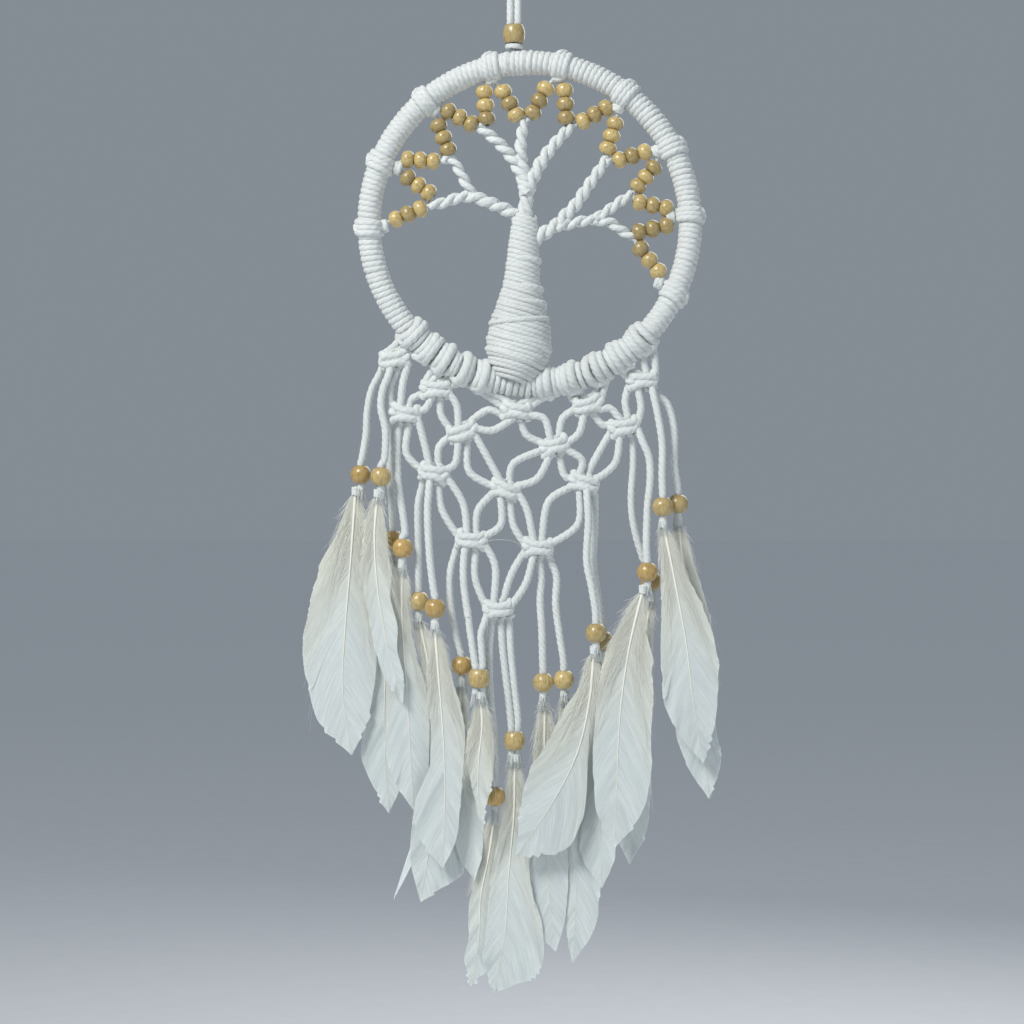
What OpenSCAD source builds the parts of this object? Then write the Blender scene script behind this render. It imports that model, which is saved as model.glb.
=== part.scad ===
// Dream catcher: a cord-wrapped hoop with a beaded tree inside, a knotted net below it,
// and feathers on beaded strands. Millimetres, +Z up, -Y is the front.
// The origin is the inside of the hanging loop's top, where a nail or hook bears.

/* [Hoop] */
// Diameter of the bare ring, at the middle of its rod
hoop_d = 143; // [120:1:180]
// Thickness of the ring's rod
hoop_rod_d = 6.2; // [4:0.1:8]
// Thickness of the cord wound round the ring
wrap_cord_d = 2.2; // [1.5:0.1:3]
// How far the middle of the ring is to the right of the hanging loop
hoop_x = 7; // [0:0.5:10]
// How far the middle of the ring is below the hanging loop
hoop_drop = 183.5; // [183.5:0.5:186]

/* [Hanging cord] */
// Thickness of the hanging cord
hang_cord_d = 3.3; // [2.5:0.1:3.4]
// Diameter of the bead on the hanging cord
hang_bead_d = 9.8; // [9:0.1:12]
// Height of the bead on the hanging cord
hang_bead_h = 8.2; // [6:0.1:8.4]

/* [Tree] */
// Diameter of a bead in the tree
tree_bead_d = 7.6; // [5:0.1:8]
// Length of a bead in the tree
tree_bead_l = 5.5; // [4:0.1:5.6]
// Diameter of the hole in a bead in the tree
tree_bead_bore = 2.4; // [2:0.1:3]
// Widest diameter of the wound trunk
trunk_d = 29; // [20:0.5:30]

/* [Net] */
// Thickness of the net's cord and of the strands
net_cord_d = 3.5; // [2.5:0.1:3.5]
// Width of a square knot
knot_w = 13.4; // [10:0.1:14]
// Height of a square knot
knot_h = 8.4; // [6:0.1:9]
// Depth of a square knot, from front to back
knot_t = 7.4; // [5:0.1:8]

/* [Strands and feathers] */
// Diameter of a bead on a strand
strand_bead_d = 9.2; // [8:0.1:9.2]
// Height of a bead on a strand
strand_bead_h = 8; // [6:0.1:8]
// Length of cord below a strand's bead, where the quill is tied
tail_l = 3; // [2:0.1:3.5]
// Thickness of a feather's vane
vane_t = 0.6; // [0.4:0.1:1]
// Thickness of a feather's quill
quill_d = 1.8; // [1:0.1:2.4]

/* [Hidden] */
$fn = 48;
hoop_z = -hoop_drop;
hoop_r = hoop_d / 2;
rod_r = hoop_rod_d / 2;
wrap_r = rod_r + wrap_cord_d;
lark_r = rod_r + net_cord_d + 0.2;
tie_r = wrap_r + 0.9;
fit_gap = 0.05;
cord_sides = 8;
hang_bead_z = -99.3;
hang_bead_bore = 7.4;
strand_bead_bore = 4.3;
pair_bead_d = 9.6;
pair_bead_bore = 7;
// Flat wood left round a bead's hole at its ends
bead_lip = 0.5;
knot_centre_z = -104.9;
hang_knot_r = 4.4;
hang_knot_half_h = 1.4;

// The ring is wound from the right-hand end of the net, over the top, to the left-hand end.
wrap_start = -41.5;
wrap_end = 219.5;
// Lashings on the ring where the tree's cords are tied: angles from +X, anticlockwise from the front
TIE_ANGLES = [182, 158, 131, 104, 79, 54, 28, 3, -26];
tie_arc = 6;
HANG_TIE_ANGLES = [88.5, 101];
hang_tie_arc = 3.4;
// Lark's head knots that carry the net, as [first angle, last angle] left and right of the trunk
LARK_SPANS = [[219.8, 256], [271, 318.2]];
larks_a_side = 5;
lark_gap_angle = 0.6;

// The hanging cord's left half, [x, z], from the knot up to the loop's top; the right half mirrors it
LOOP_HALF = [[-1.7, -103.2], [-1.7, -90], [-1.7, -76], [-1.7, -62], [-1.8, -50], [-2.6, -39],
    [-4.4, -28], [-6, -17], [-6.7, -8], [-6.1, -2.4], [-3.6, 0.7]];
LOOP_TOP = [0, 1.65];

// The trunk's outline, [share of trunk_d / 2, height above its foot]
TRUNK = [[0.5, 0], [0.9, 7], [1, 14], [0.93, 24], [0.72, 34], [0.57, 44], [0.54, 54], [0.44, 64],
    [0.28, 75], [0.25, 84], [0.25, 92]];
TRUNK_FOOT = [1.2, 0, -257];
trunk_lean = 2.8;
trunk_flatness = 0.85;

// Branches, each [thickness at the trunk, thickness at its end, points as [x, z]]
BRANCHES = [
    [4.6, 3.8, [[1, -180], [-9, -175], [-17.5, -171.8], [-24.5, -172], [-31, -174.2], [-37.5, -175.3]]],
    [4, 3.6, [[-18, -171], [-23, -162.5], [-26, -157], [-28.5, -154.5], [-32, -156]]],
    [4.8, 3.8, [[5.5, -167], [4, -163.5], [0, -155.5], [-7, -147.5], [-16, -140]]],
    [5, 3.8, [[5, -166], [4, -160], [3, -153], [3.2, -145.5], [4.5, -138]]],
    [5, 3.8, [[7, -166], [12.5, -155.5], [18.5, -147.5], [25.5, -140]]],
    [5, 3.8, [[9, -191], [18.5, -184.5], [21.8, -181], [27.5, -175], [32.5, -167.5], [41.5, -154.5]]],
    [4, 3.8, [[19, -185], [25, -183.6], [31, -182.4], [37.5, -181.6]]],
    [3.8, 3.6, [[36, -181.8], [41.5, -178], [47.5, -173.5], [52.5, -170.5]]],
    [3.8, 3.6, [[36, -181.8], [42.5, -183], [47.5, -186.5], [53, -189.5]]]];

// Rows of three beads, each [first bead, last bead, its thread's two ends] as [x, z]
BEAD_ROWS = [
    [[-52.5, -181.6], [-41.8, -177.1], [-58.5, -184], [-37, -175.3]],
    [[-47.3, -155], [-36, -155.8], [-52, -157.5], [-32, -156]],
    [[-47.3, -163.2], [-38, -169.8], [-51.5, -159.5], [-36.5, -174.5]],
    [[-33.6, -140], [-29.4, -150.6], [-35.5, -134.5], [-30, -154.5]],
    [[-29.2, -133.6], [-19.2, -139.2], [-34, -131.8], [-15.5, -140.5]],
    [[-13.3, -125], [-12.3, -136.9], [-11.5, -119.5], [-15.5, -139.5]],
    [[-4.9, -124.8], [0.9, -135.2], [-9.5, -119.5], [3.8, -138.5]],
    [[14, -123.5], [8.4, -134.2], [18.5, -119], [5.2, -138.5]],
    [[22.4, -124.2], [23.2, -136.5], [19.8, -119.2], [25, -140]],
    [[40.9, -132.1], [30.7, -138], [45.5, -132], [26, -140]],
    [[45, -139], [41.7, -150], [46.3, -133], [41.4, -154.5]],
    [[58, -151.8], [46.9, -155.3], [63.5, -151.6], [42, -154.8]],
    [[62.2, -158.7], [55.1, -166.8], [64, -153], [52.5, -170.5]],
    [[67.6, -176.7], [55.9, -174.2], [73, -178], [52.5, -170.8]],
    [[67.8, -184.5], [55.6, -187.3], [73, -180.5], [53, -189.5]],
    [[64.2, -204.8], [56.3, -194.8], [66.5, -210.5], [53, -190]]];

// Square knots, [x, z], row by row from the ring down
KNOTS = [[-53, -244], [-34.8, -257.5], [1, -267], [33, -264.3], [57, -253.6],
    [-48.6, -268.5], [-22.8, -276.5], [18, -282.7], [49, -274.2],
    [-35.7, -294.7], [-4, -302], [31, -299],
    [-19, -324.5], [10.5, -327.8],
    [-7, -355.2]];
// Pairs of cords between two knots: [upper knot, lower knot, middle of the left cord, of the right cord]
LINKS = [
    [0, 5, [-55, -256], [-49.5, -255]], [1, 5, [-45.5, -261.5], [-39.5, -266]],
    [1, 6, [-32.5, -268.5], [-25.5, -264.5]], [2, 6, [-12, -266.5], [-9.5, -275.5]],
    [2, 7, [5.5, -277.5], [13.5, -270.5]], [3, 7, [21.5, -270.3], [29, -276.5]],
    [3, 8, [39.5, -273], [43, -266]], [4, 8, [49.5, -262.5], [56.5, -265.5]],
    [5, 9, [-48, -285.3], [-40, -281]], [6, 9, [-33.4, -283], [-26, -289.8]],
    [6, 10, [-20, -293.7], [-10.2, -290.6]], [7, 10, [0, -290], [10.5, -296.8]],
    [7, 11, [22.2, -295], [30.2, -288.8]], [8, 11, [35.6, -289.2], [45, -290]],
    [9, 12, [-32, -311], [-22.7, -308]], [10, 12, [-16, -311], [-5.8, -317.3]],
    [10, 13, [-0.4, -317.3], [5.8, -311]], [11, 13, [15.2, -307.5], [28.4, -317.3]],
    [12, 14, [-17.4, -341], [-8.4, -336]], [13, 14, [-0.9, -339], [5.3, -343.5]]];
// The uppermost knots each take four cords from two lark's heads: [knot, lark's head], counted from the left
HEADS = [[0, 0], [0, 1], [1, 2], [1, 3], [2, 4], [2, 5], [3, 6], [3, 7], [4, 8], [4, 9]];
// A cord that runs behind the lowest knot to the strand beside it, [x, z]
SIDE_CORD = [[-22, -329.5], [-22.5, -336], [-22.4, -343], [-21.6, -350], [-20.7, -356.3]];

// Depths of the strands and feathers behind (+) and in front of (-) the net
front = -4;
back = 4;

// Strands: [pendant, depth at its knot, depth at its bead, bead [x, z], bead bore, route [x, z] down to the bead]
STRANDS = [
    ["01", 2.2, back, [-68.4, -295.2], 0,
        [[-59.5, -249.5], [-63.5, -257.5], [-65.4, -267], [-66, -277], [-67.6, -287]]],
    ["02", -2.2, front, [-59.1, -296.2], 0,
        [[-55.5, -250.2], [-58.4, -258], [-59, -266], [-57, -276], [-57.4, -288]]],
    ["03", 2.2, 1, [-49.7, -328], 0,
        [[-51.5, -275], [-52, -286], [-51.6, -299], [-49.5, -313], [-48.6, -321]]],
    ["03", 4.5, 9, [-54.3, -324.5], 0,
        [[-55.5, -275], [-55.6, -287], [-55.2, -300], [-54.6, -312]]],
    ["04", 3, 5.4, [-42.6, -351.8], 0,
        [[-41, -300.5], [-42.8, -309], [-42.8, -324], [-42.7, -340]]],
    ["05", -2.2, front, [-35, -354.6], 0,
        [[-37.7, -301], [-38.4, -313], [-37.4, -332], [-35.7, -346]]],
    ["06", 2.2, back, [-23.3, -380.5], 0,
        [[-26.3, -330.5], [-28.4, -339], [-28.4, -352], [-26, -366], [-23.9, -374]]],
    ["07", -2.2, front, [-15.6, -385.6], 1,
        [[-20.3, -357.7], [-19.8, -363], [-18.6, -371], [-17.4, -379]]],
    ["07", -2.2, front, [-15.6, -385.6], 0,
        [[-13.2, -361], [-14.7, -366], [-14.4, -373], [-13.9, -380]]],
    ["08", 2.2, back, [-8.5, -438.9], 0,
        [[-10, -361], [-11, -375], [-10.7, -392], [-9.2, -408], [-8.5, -425]]],
    ["09", 2.2, back, [0.2, -414], 1,
        [[-6, -361], [-5, -374], [-3.4, -388], [-1.6, -404]]],
    ["09", 2.2, back, [0.2, -414], 0,
        [[-2.2, -361], [-1.4, -374], [0, -388], [1.8, -404]]],
    ["10", 2.2, back, [13, -388], 0,
        [[11.5, -334], [12.2, -342], [11.6, -351], [12.4, -364], [12.8, -377]]],
    ["10", 2.2, back, [22.3, -386.8], 0,
        [[16.5, -334], [19, -341], [18.6, -353], [20.4, -367], [22, -377]]],
    ["12", -3.6, front, [36.3, -365.5], 0,
        [[32.4, -305.2], [33, -316], [32.2, -333], [34.4, -345], [36, -355]]],
    ["13", 2.2, 5, [39.8, -369.5], 0,
        [[36, -305.2], [36, -320], [35.4, -334], [37.2, -348], [39.2, -360]]],
    ["14", -2.2, front, [59.1, -338.5], 0,
        [[57, -280.3], [60, -288], [60.4, -298], [59.2, -310], [58.7, -326]]],
    ["15", 2.2, 6, [61.4, -342.8], 0,
        [[53, -280.5], [53.2, -291], [52.4, -306], [53.6, -318], [57.5, -332]]],
    ["16", -2.2, front, [66, -309.6], 0,
        [[62, -260], [64.2, -270.5], [65.8, -282], [65.7, -296]]],
    ["17", 2.2, back, [73.2, -308.3], 0,
        [[62.5, -258.5], [68.5, -264], [71.4, -275], [71.6, -290], [73, -300]]]];

// Feathers: [pendant, depth, quill [x, z] from root to tip, left half-widths, right half-widths]
FEATHERS = [
    ["01", back, [[-70.8, -303], [-72.8, -332.4], [-75.2, -361.8], [-76.5, -391.2], [-72.5, -420.5]],
        [1, 8.5, 12.5, 15.6, 17.8, 18, 14.7, 11, 0], [1, 8, 12, 14.2, 15.6, 15.1, 13.8, 9.8, 0]],
    ["02", front, [[-60.5, -304], [-61.9, -324.4], [-60.1, -348.9], [-55.6, -373.4], [-49.4, -396.5]],
        [1, 3.5, 5.5, 6.2, 5.6, 5.4, 5.4, 4.5, 0], [1, 4, 5.8, 6.2, 5, 6, 3.8, 3.5, 0]],
    ["03", 1, [[-50, -335.5], [-49.8, -362.2], [-47.8, -389.8], [-46.3, -417.4], [-44.6, -445]],
        [1, 3.5, 5.3, 6.2, 8.9, 9.8, 11, 7.5, 0], [1, 2, 3.4, 5, 8.4, 8.9, 8.4, 6.7, 0]],
    ["03", 9, [[-54.6, -332], [-56.1, -360], [-57.9, -391.2], [-57.9, -420.1], [-56.1, -447.2]],
        [1, 1.8, 2.2, 3.1, 4.5, 6.2, 10.5, 7.1, 0], [1, 2.5, 4, 5.5, 7, 8, 9, 7, 0]],
    ["04", 5.4, [[-42.5, -359.5], [-36.6, -390.3], [-34.7, -422.3], [-36.9, -454.3], [-41.8, -486.4]],
        [1, 1.8, 1.5, 2, 2.2, 4.9, 8.9, 6.7, 0], [1, 3, 4.5, 6, 7, 8.5, 10.4, 12.5, 0]],
    ["04", 5.4, [[-41, -450], [-43, -457], [-45.5, -464.5], [-49.4, -474.5], [-54, -485.3]],
        [0.4, 0.8, 1.2, 1.6, 1.7, 1.6, 1.3, 0.8, 0], [0.4, 0.8, 1.2, 1.6, 1.7, 1.6, 1.3, 0.8, 0]],
    ["05", front, [[-35.2, -362.5], [-33.2, -388], [-31.2, -415.6], [-30.7, -442.8], [-31.6, -470]],
        [1, 3.6, 5.3, 5.1, 5.8, 7.1, 13, 11, 0], [1, 3.6, 6.2, 7.6, 7.1, 6.7, 5.8, 5.3, 0]],
    ["06", back, [[-23.8, -388.5], [-24.3, -409.8], [-22.3, -432.1], [-19.4, -454.3], [-17.6, -476.6]],
        [1, 1.8, 1.8, 2.2, 3.1, 3.6, 4.7, 4, 0], [1, 2, 1.8, 2.4, 3.6, 4.5, 5, 4, 0]],
    ["07", front, [[-15.1, -393.5], [-14.2, -406.3], [-15.6, -421.4], [-16, -436.5], [-13.8, -452.1]],
        [1, 3, 6, 6.2, 5.3, 3.5, 1.5, 1, 0], [1, 3, 4, 5.8, 6.7, 6.5, 4.9, 2.3, 0]],
    ["08", 5.4, [[-8.5, -446.5], [-11.2, -465], [-14.9, -484.4], [-15.8, -503.7], [-19.1, -523.8]],
        [1.2, 2.6, 2, 2.4, 4.2, 3.4, 2.6, 3.6, 0], [1.2, 2.6, 3, 3, 3, 3.5, 4, 4, 0]],
    ["09", back, [[0.4, -422], [0, -446.8], [-2.4, -473.5], [-4, -500.2], [-8.9, -526.9]],
        [1, 3, 4.2, 5.8, 6.2, 7.4, 6.2, 5.1, 0], [1, 4, 6.2, 6.2, 4.4, 6.6, 12, 15.5, 0]],
    ["10", 5.4, [[13.8, -396], [13.8, -424.5], [15.1, -453.5], [15.6, -482.4], [18.7, -508.6]],
        [1, 3.5, 5.3, 6.2, 8.2, 10.8, 11.8, 9.6, 0], [1, 3.1, 4, 5.3, 6.7, 7.6, 7.6, 4.9, 0]],
    ["10", 6.6, [[22.7, -394.8], [23.6, -424.5], [25.4, -453.5], [27.6, -482.4], [26.3, -514]],
        [1, 3, 4, 4.5, 3.6, 4.5, 5.3, 3.6, 0], [1, 3.5, 4, 3.1, 2.2, 3, 9.4, 6.2, 0]],
    ["12", front, [[35.4, -373.5], [33.4, -395.6], [28, -418.7], [16.9, -441], [0.9, -464.6]],
        [1, 4.5, 8.9, 12.5, 14.7, 15.5, 13.4, 7, 0], [1, 2.5, 2.2, 3, 5.8, 10.7, 16, 15, 0]],
    ["13", 5, [[39.8, -377.5], [38.7, -402.3], [37.8, -429], [38.3, -455.7], [39.2, -480.2]],
        [1, 2.2, 3.1, 3.6, 4, 5, 8.3, 7.6, 0], [1, 2.2, 3.1, 4.5, 5.3, 5.8, 7.1, 6.2, 0]],
    ["14", -5.4, [[57, -346.5], [50.7, -373.4], [46.9, -402.3], [45.6, -431.2], [44.5, -460.6]],
        [1, 8, 10, 10.4, 10.7, 11, 10.2, 8, 0], [1, 6.2, 10.7, 13.5, 14.5, 14.5, 14.2, 11, 0]],
    ["15", 6, [[61.2, -350.5], [57, -379.6], [54.3, -409.4], [53, -439.2], [51.6, -469.5]],
        [1, 3.1, 4.5, 5.3, 6.2, 6.7, 6.2, 5.8, 0], [1, 2.2, 4.5, 5.8, 6.2, 6.2, 6.2, 5.3, 0]],
    ["16", front, [[66.2, -317.5], [71.2, -342.2], [76.1, -368.9], [79.4, -395.6], [83.7, -423.2]],
        [1, 3.8, 6.3, 9, 11.6, 12.4, 12.5, 8, 0], [1, 3.1, 6.2, 9.8, 12.5, 12.9, 10.7, 7.1, 0]],
    ["17", back, [[73.4, -316.2], [76.5, -345.8], [80.1, -377.4], [83.7, -408.9], [87.2, -440.1]],
        [1, 3.6, 4.5, 5.3, 6.2, 7.1, 11.1, 8, 0], [1, 3.6, 7.5, 9.8, 8.9, 7.1, 6.2, 6.9, 0]]];

PENDANTS = ["01", "02", "03", "04", "05", "06", "07", "08", "09", "10", "12", "13", "14", "15", "16", "17"];

cotton = [0.9, 0.91, 0.92];
wood = [0.72, 0.57, 0.36];
plume = [0.95, 0.96, 0.94];

// ---- geometry helpers ----

function unit(v) = v / norm(v);

// A point of the Catmull-Rom curve through four points, at share t between the middle two
function spline_at(a, b, c, d, t) =
    0.5 * (2 * b + (c - a) * t + (2 * a - 5 * b + 4 * c - d) * t * t + (3 * b - a - 3 * c + d) * t * t * t);

// The curve through all the points, with n steps between each two
function smooth(points, n) =
    let (last = len(points) - 1)
    concat([for (i = [0:last - 1]) for (k = [0:n - 1])
        spline_at(points[max(i - 1, 0)], points[i], points[i + 1], points[min(i + 2, last)], k / n)],
        [points[last]]);

// A route in the XZ plane, [x, z], at depths that change evenly from the first to the last
function in_space(route, y0, y1) =
    [for (i = [0:len(route) - 1]) [route[i][0], y0 + (y1 - y0) * i / (len(route) - 1), route[i][1]]];

function along(points, i) = unit(points[min(i + 1, len(points) - 1)] - points[max(i - 1, 0)]);

function ring(centre, heading, r) =
    let (side = unit(cross(heading, [0, 1, 0])), up = cross(side, heading))
    [for (k = [0:cord_sides - 1]) centre
        + r * cos(360 * (k + 0.5) / cord_sides) * side + r * sin(360 * (k + 0.5) / cord_sides) * up];

// A plain cord: one closed tube along the points, its thickness changing evenly from d0 to d1
module cord(points, d0, d1) {
    last = len(points) - 1;
    n = cord_sides;
    rings = [for (i = [0:last]) each ring(points[i], along(points, i), (d0 + (d1 - d0) * i / last) / 2)];
    walls = [for (i = [0:last - 1]) for (k = [0:n - 1])
        [i * n + k, i * n + (k + 1) % n, (i + 1) * n + (k + 1) % n, (i + 1) * n + k]];
    halves = [for (w = walls) each [[w[0], w[1], w[2]], [w[0], w[2], w[3]]]];
    first_cap = [for (k = [n - 1:-1:0]) k];
    last_cap = [for (k = [0:n - 1]) last * n + k];
    polyhedron(rings, concat(halves, [first_cap, last_cap]), convexity = 4);
}

// A round rod between two points
module rod(a, b, d) {
    v = b - a;
    translate(a)
        rotate([0, acos(v[2] / norm(v)), atan2(v[1], v[0])])
            cylinder(h = norm(v), d = d);
}

// A barrel bead round the Z axis, with a wide drilled hole and rounded edges
module barrel_bead(d, h, bore) {
    edge_r = (d - bore) / 2 - bead_lip;
    rotate_extrude()
        intersection() {
            union() {
                translate([0, edge_r - h / 2])
                    square([d / 2, h - 2 * edge_r]);
                translate([0, -h / 2])
                    square([d / 2 - edge_r, h]);
                for (end = [-1, 1])
                    translate([d / 2 - edge_r, end * (h / 2 - edge_r)])
                        circle(r = edge_r);
            }
            translate([bore / 2, -h / 2])
                square([d / 2, h]);
        }
}

// A round bead round the Z axis, with a fine drilled hole and a bulging belly
module round_bead(d, h, bore) {
    shoulder = (d - bore) / 2 - bead_lip;
    belly_r = (shoulder * shoulder + h * h / 4) / (2 * shoulder);
    rotate_extrude()
        intersection() {
            translate([d / 2 - belly_r, 0])
                circle(r = belly_r);
            translate([bore / 2, -h / 2])
                square([d / 2, h]);
        }
}

// Part of a tube bent round the hoop, from angle a to angle b
module hoop_sleeve(r, a, b) {
    translate([hoop_x, 0, hoop_z])
        rotate([90, 0, 0])
            rotate([0, 0, a])
                rotate_extrude(angle = b - a)
                    translate([hoop_r, 0])
                        difference() {
                            circle(r = r);
                            circle(r = rod_r);
                        }
}

function on_hoop(angle, r) = [hoop_x + r * cos(angle), 0, hoop_z + r * sin(angle)];

// The angle of the middle of a lark's head, counted from the left
function lark_angle(i) =
    let (span = LARK_SPANS[i < larks_a_side ? 0 : 1], k = i % larks_a_side)
    span[0] + (span[1] - span[0]) * (k + 0.5) / larks_a_side;

function lark_half_angle(i) =
    let (span = LARK_SPANS[i < larks_a_side ? 0 : 1])
    (span[1] - span[0]) / larks_a_side / 2 - lark_gap_angle / 2;

// ---- hanging cord ----

function loop_route() =
    let (right = [for (i = [len(LOOP_HALF) - 1:-1:0]) [-LOOP_HALF[i][0], LOOP_HALF[i][1]]])
    concat(LOOP_HALF, [LOOP_TOP], right);

module hang_cord() {
    color(cotton)
        cord(in_space(smooth(loop_route(), 2), 0, 0), hang_cord_d, hang_cord_d);
}

module hang_bead() {
    color(wood)
        translate([0, 0, hang_bead_z])
            barrel_bead(hang_bead_d, hang_bead_h, hang_bead_bore);
}

module top_knot() {
    color(cotton)
        translate([0, 0, knot_centre_z])
            rotate_extrude()
                intersection() {
                    scale([1, hang_knot_half_h / hang_knot_r])
                        circle(r = hang_knot_r);
                    translate([0, -hang_knot_r])
                        square([hang_knot_r, 2 * hang_knot_r]);
                }
}

// ---- hoop ----

module hoop_rod() {
    color("tan")
        translate([hoop_x, 0, hoop_z])
            rotate([90, 0, 0])
                rotate_extrude()
                    translate([hoop_r, 0])
                        circle(r = rod_r - fit_gap);
}

module hoop_wrap() {
    color(cotton)
        hoop_sleeve(wrap_r, wrap_start, wrap_end);
}

module ring_ties() {
    color(cotton) {
        for (a = TIE_ANGLES)
            tie_band(a, tie_arc);
        for (a = HANG_TIE_ANGLES)
            tie_band(a, hang_tie_arc);
    }
}

// A lashing round the wound ring, outside its winding
module tie_band(a, arc) {
    translate([hoop_x, 0, hoop_z])
        rotate([90, 0, 0])
            rotate([0, 0, a - arc / 2])
                rotate_extrude(angle = arc)
                    translate([hoop_r, 0])
                        difference() {
                            circle(r = tie_r);
                            circle(r = wrap_r + fit_gap);
                        }
}

module larks_heads() {
    color(cotton)
        for (i = [0:2 * larks_a_side - 1])
            hoop_sleeve(lark_r, lark_angle(i) - lark_half_angle(i), lark_angle(i) + lark_half_angle(i));
}

// ---- tree ----

module trunk() {
    outline = concat([[0, TRUNK[0][1]]],
        [for (p = smooth(TRUNK, 3)) [p[0] * trunk_d / 2, p[1]]],
        [[0, TRUNK[len(TRUNK) - 1][1]]]);
    color(cotton)
        difference() {
            translate(TRUNK_FOOT)
                rotate([0, trunk_lean, 0])
                    scale([1, trunk_flatness, 1])
                        rotate_extrude()
                            polygon(outline);
            translate([hoop_x, 0, hoop_z])
                rotate([90, 0, 0])
                    rotate_extrude()
                        translate([hoop_r, 0])
                            circle(r = rod_r);
        }
}

module branches() {
    color(cotton) {
        for (b = BRANCHES)
            cord(in_space(smooth(b[2], 2), 0, 0), b[0], b[1]);
        for (row = BEAD_ROWS)
            cord(in_space([row[2], row[0], row[1], row[3]], 0, 0), tree_bead_bore - 0.4, tree_bead_bore - 0.4);
    }
}

module tree_beads() {
    color(wood)
        for (row = BEAD_ROWS)
            for (k = [0:2])
                tree_bead(row[0] + (row[1] - row[0]) * k / 2, row[1] - row[0]);
}

module tree_bead(centre, heading) {
    translate([centre[0], 0, centre[1]])
        rotate([0, atan2(heading[0], heading[1]), 0])
            round_bead(tree_bead_d, tree_bead_l, tree_bead_bore);
}

// ---- net ----

// Where a cord leaves the bottom of a knot (up = -1) or enters its top (up = 1): outer cords at its
// sides, inner cords near its middle; side is -1 for the left half of the knot and 1 for the right
function knot_port(k, side, up, outer) =
    KNOTS[k] + [side * (outer ? knot_w * 0.42 : knot_w * 0.14), up * (outer ? knot_h * 0.2 : knot_h * 0.42)];

module net_knots() {
    color(cotton)
        for (k = KNOTS)
            square_knot([k[0], 0, k[1]]);
}

// A square knot: a rounded front and back bar, with a rounder bead of cord at each side
module square_knot(centre) {
    reach = knot_w / 2 - knot_h * 0.36;
    translate(centre) {
        hull()
            for (side = [-1, 1])
                translate([side * reach, 0, 0])
                    scale([0.72, knot_t / knot_h, 1])
                        sphere(d = knot_h, $fn = 12);
    }
}

module net_cords() {
    color(cotton) {
        for (l = LINKS)
            link(l);
        for (h = HEADS)
            head_cords(h[0], h[1]);
        cord(in_space(smooth(SIDE_CORD, 2), -1, -2.2), net_cord_d, net_cord_d);
    }
}

// The two cords that run from one knot down to the next: one is outside the other
module link(l) {
    leftwards = KNOTS[l[1]][0] < KNOTS[l[0]][0];
    way = leftwards ? -1 : 1;
    left_cord = [knot_port(l[0], way, -1, leftwards), l[2], knot_port(l[1], -way, 1, !leftwards)];
    right_cord = [knot_port(l[0], way, -1, !leftwards), l[3], knot_port(l[1], -way, 1, leftwards)];
    cord(in_space(smooth(left_cord, 3), 0.9, 0.9), net_cord_d, net_cord_d);
    cord(in_space(smooth(right_cord, 3), -0.9, -0.9), net_cord_d, net_cord_d);
}

// The two cords from a lark's head down to a knot
module head_cords(k, i) {
    side = i % 2 == 0 ? -1 : 1;
    for (leg = [-1, 1]) {
        start = on_hoop(lark_angle(i) + leg * lark_half_angle(i) * 0.45, hoop_r + lark_r - net_cord_d / 2);
        port = knot_port(k, side, 1, leg == side);
        cord([start, [port[0], 0, port[1]]], net_cord_d, net_cord_d);
    }
}

// ---- strands, their beads and feathers ----

function strand_end(s) = [s[3][0], s[3][1] - strand_bead_h / 2 - tail_l];

module strand(p) {
    color(cotton)
        for (s = STRANDS)
            if (s[0] == p) {
                offset_x = s[4] == 1 ? -net_cord_d / 2 : pair_of(p) ? net_cord_d / 2 : 0;
                bead_top = [s[3][0] + offset_x, s[3][1] + strand_bead_h / 2];
                end = strand_end(s) + [offset_x, 0];
                route = smooth(concat(s[5], [bead_top]), 2);
                cord(concat(in_space(route, s[1], s[2]), [[end[0], s[2], end[1]]]), thickness(p), thickness(p));
            }
}

// True if both of the pendant's strands share one bead
function pair_of(p) = len([for (s = STRANDS) if (s[0] == p && s[4] == 1) 1]) > 0;

function thickness(p) = pair_of(p) ? net_cord_d - 0.2 : net_cord_d;

module strand_beads(p) {
    color(wood)
        for (s = STRANDS)
            if (s[0] == p && s[4] == 0)
                translate([s[3][0], s[2], s[3][1]])
                    barrel_bead(pair_of(p) ? pair_bead_d : strand_bead_d, strand_bead_h,
                        pair_of(p) ? pair_bead_bore : strand_bead_bore);
}

// A feather's outline: its left edge from root to tip, then its right edge back up
function vane_outline(f) =
    let (line = smooth(f[2], 4), n = len(line) - 1,
        left = smooth([for (w = f[3]) [w, 0]], 2), right = smooth([for (w = f[4]) [w, 0]], 2),
        normal = [for (i = [0:n]) let (h = along(line, i)) [h[1], -h[0]]])
    concat([for (i = [0:n]) line[i] + normal[i] * left[i][0]],
        [for (i = [n - 1:-1:0]) line[i] - normal[i] * right[i][0]]);

module feather(p) {
    color(plume)
        for (f = FEATHERS)
            if (f[0] == p) {
                translate([0, f[1] + vane_t / 2, 0])
                    rotate([90, 0, 0])
                        linear_extrude(vane_t)
                            polygon(vane_outline(f));
                line = smooth(f[2], 4);
                rod([line[0][0], f[1], line[0][1]], [line[3][0], f[1], line[3][1]], quill_d);
            }
}

hang_cord();
hang_bead();
top_knot();
hoop_rod();
hoop_wrap();
ring_ties();
trunk();
branches();
tree_beads();
larks_heads();
net_knots();
net_cords();
for (p = PENDANTS) {
    strand(p);
    strand_beads(p);
    feather(p);
}
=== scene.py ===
"""Dream catcher: the looks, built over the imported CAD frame. Data is in millimetres, Blender in metres."""
import math

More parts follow.
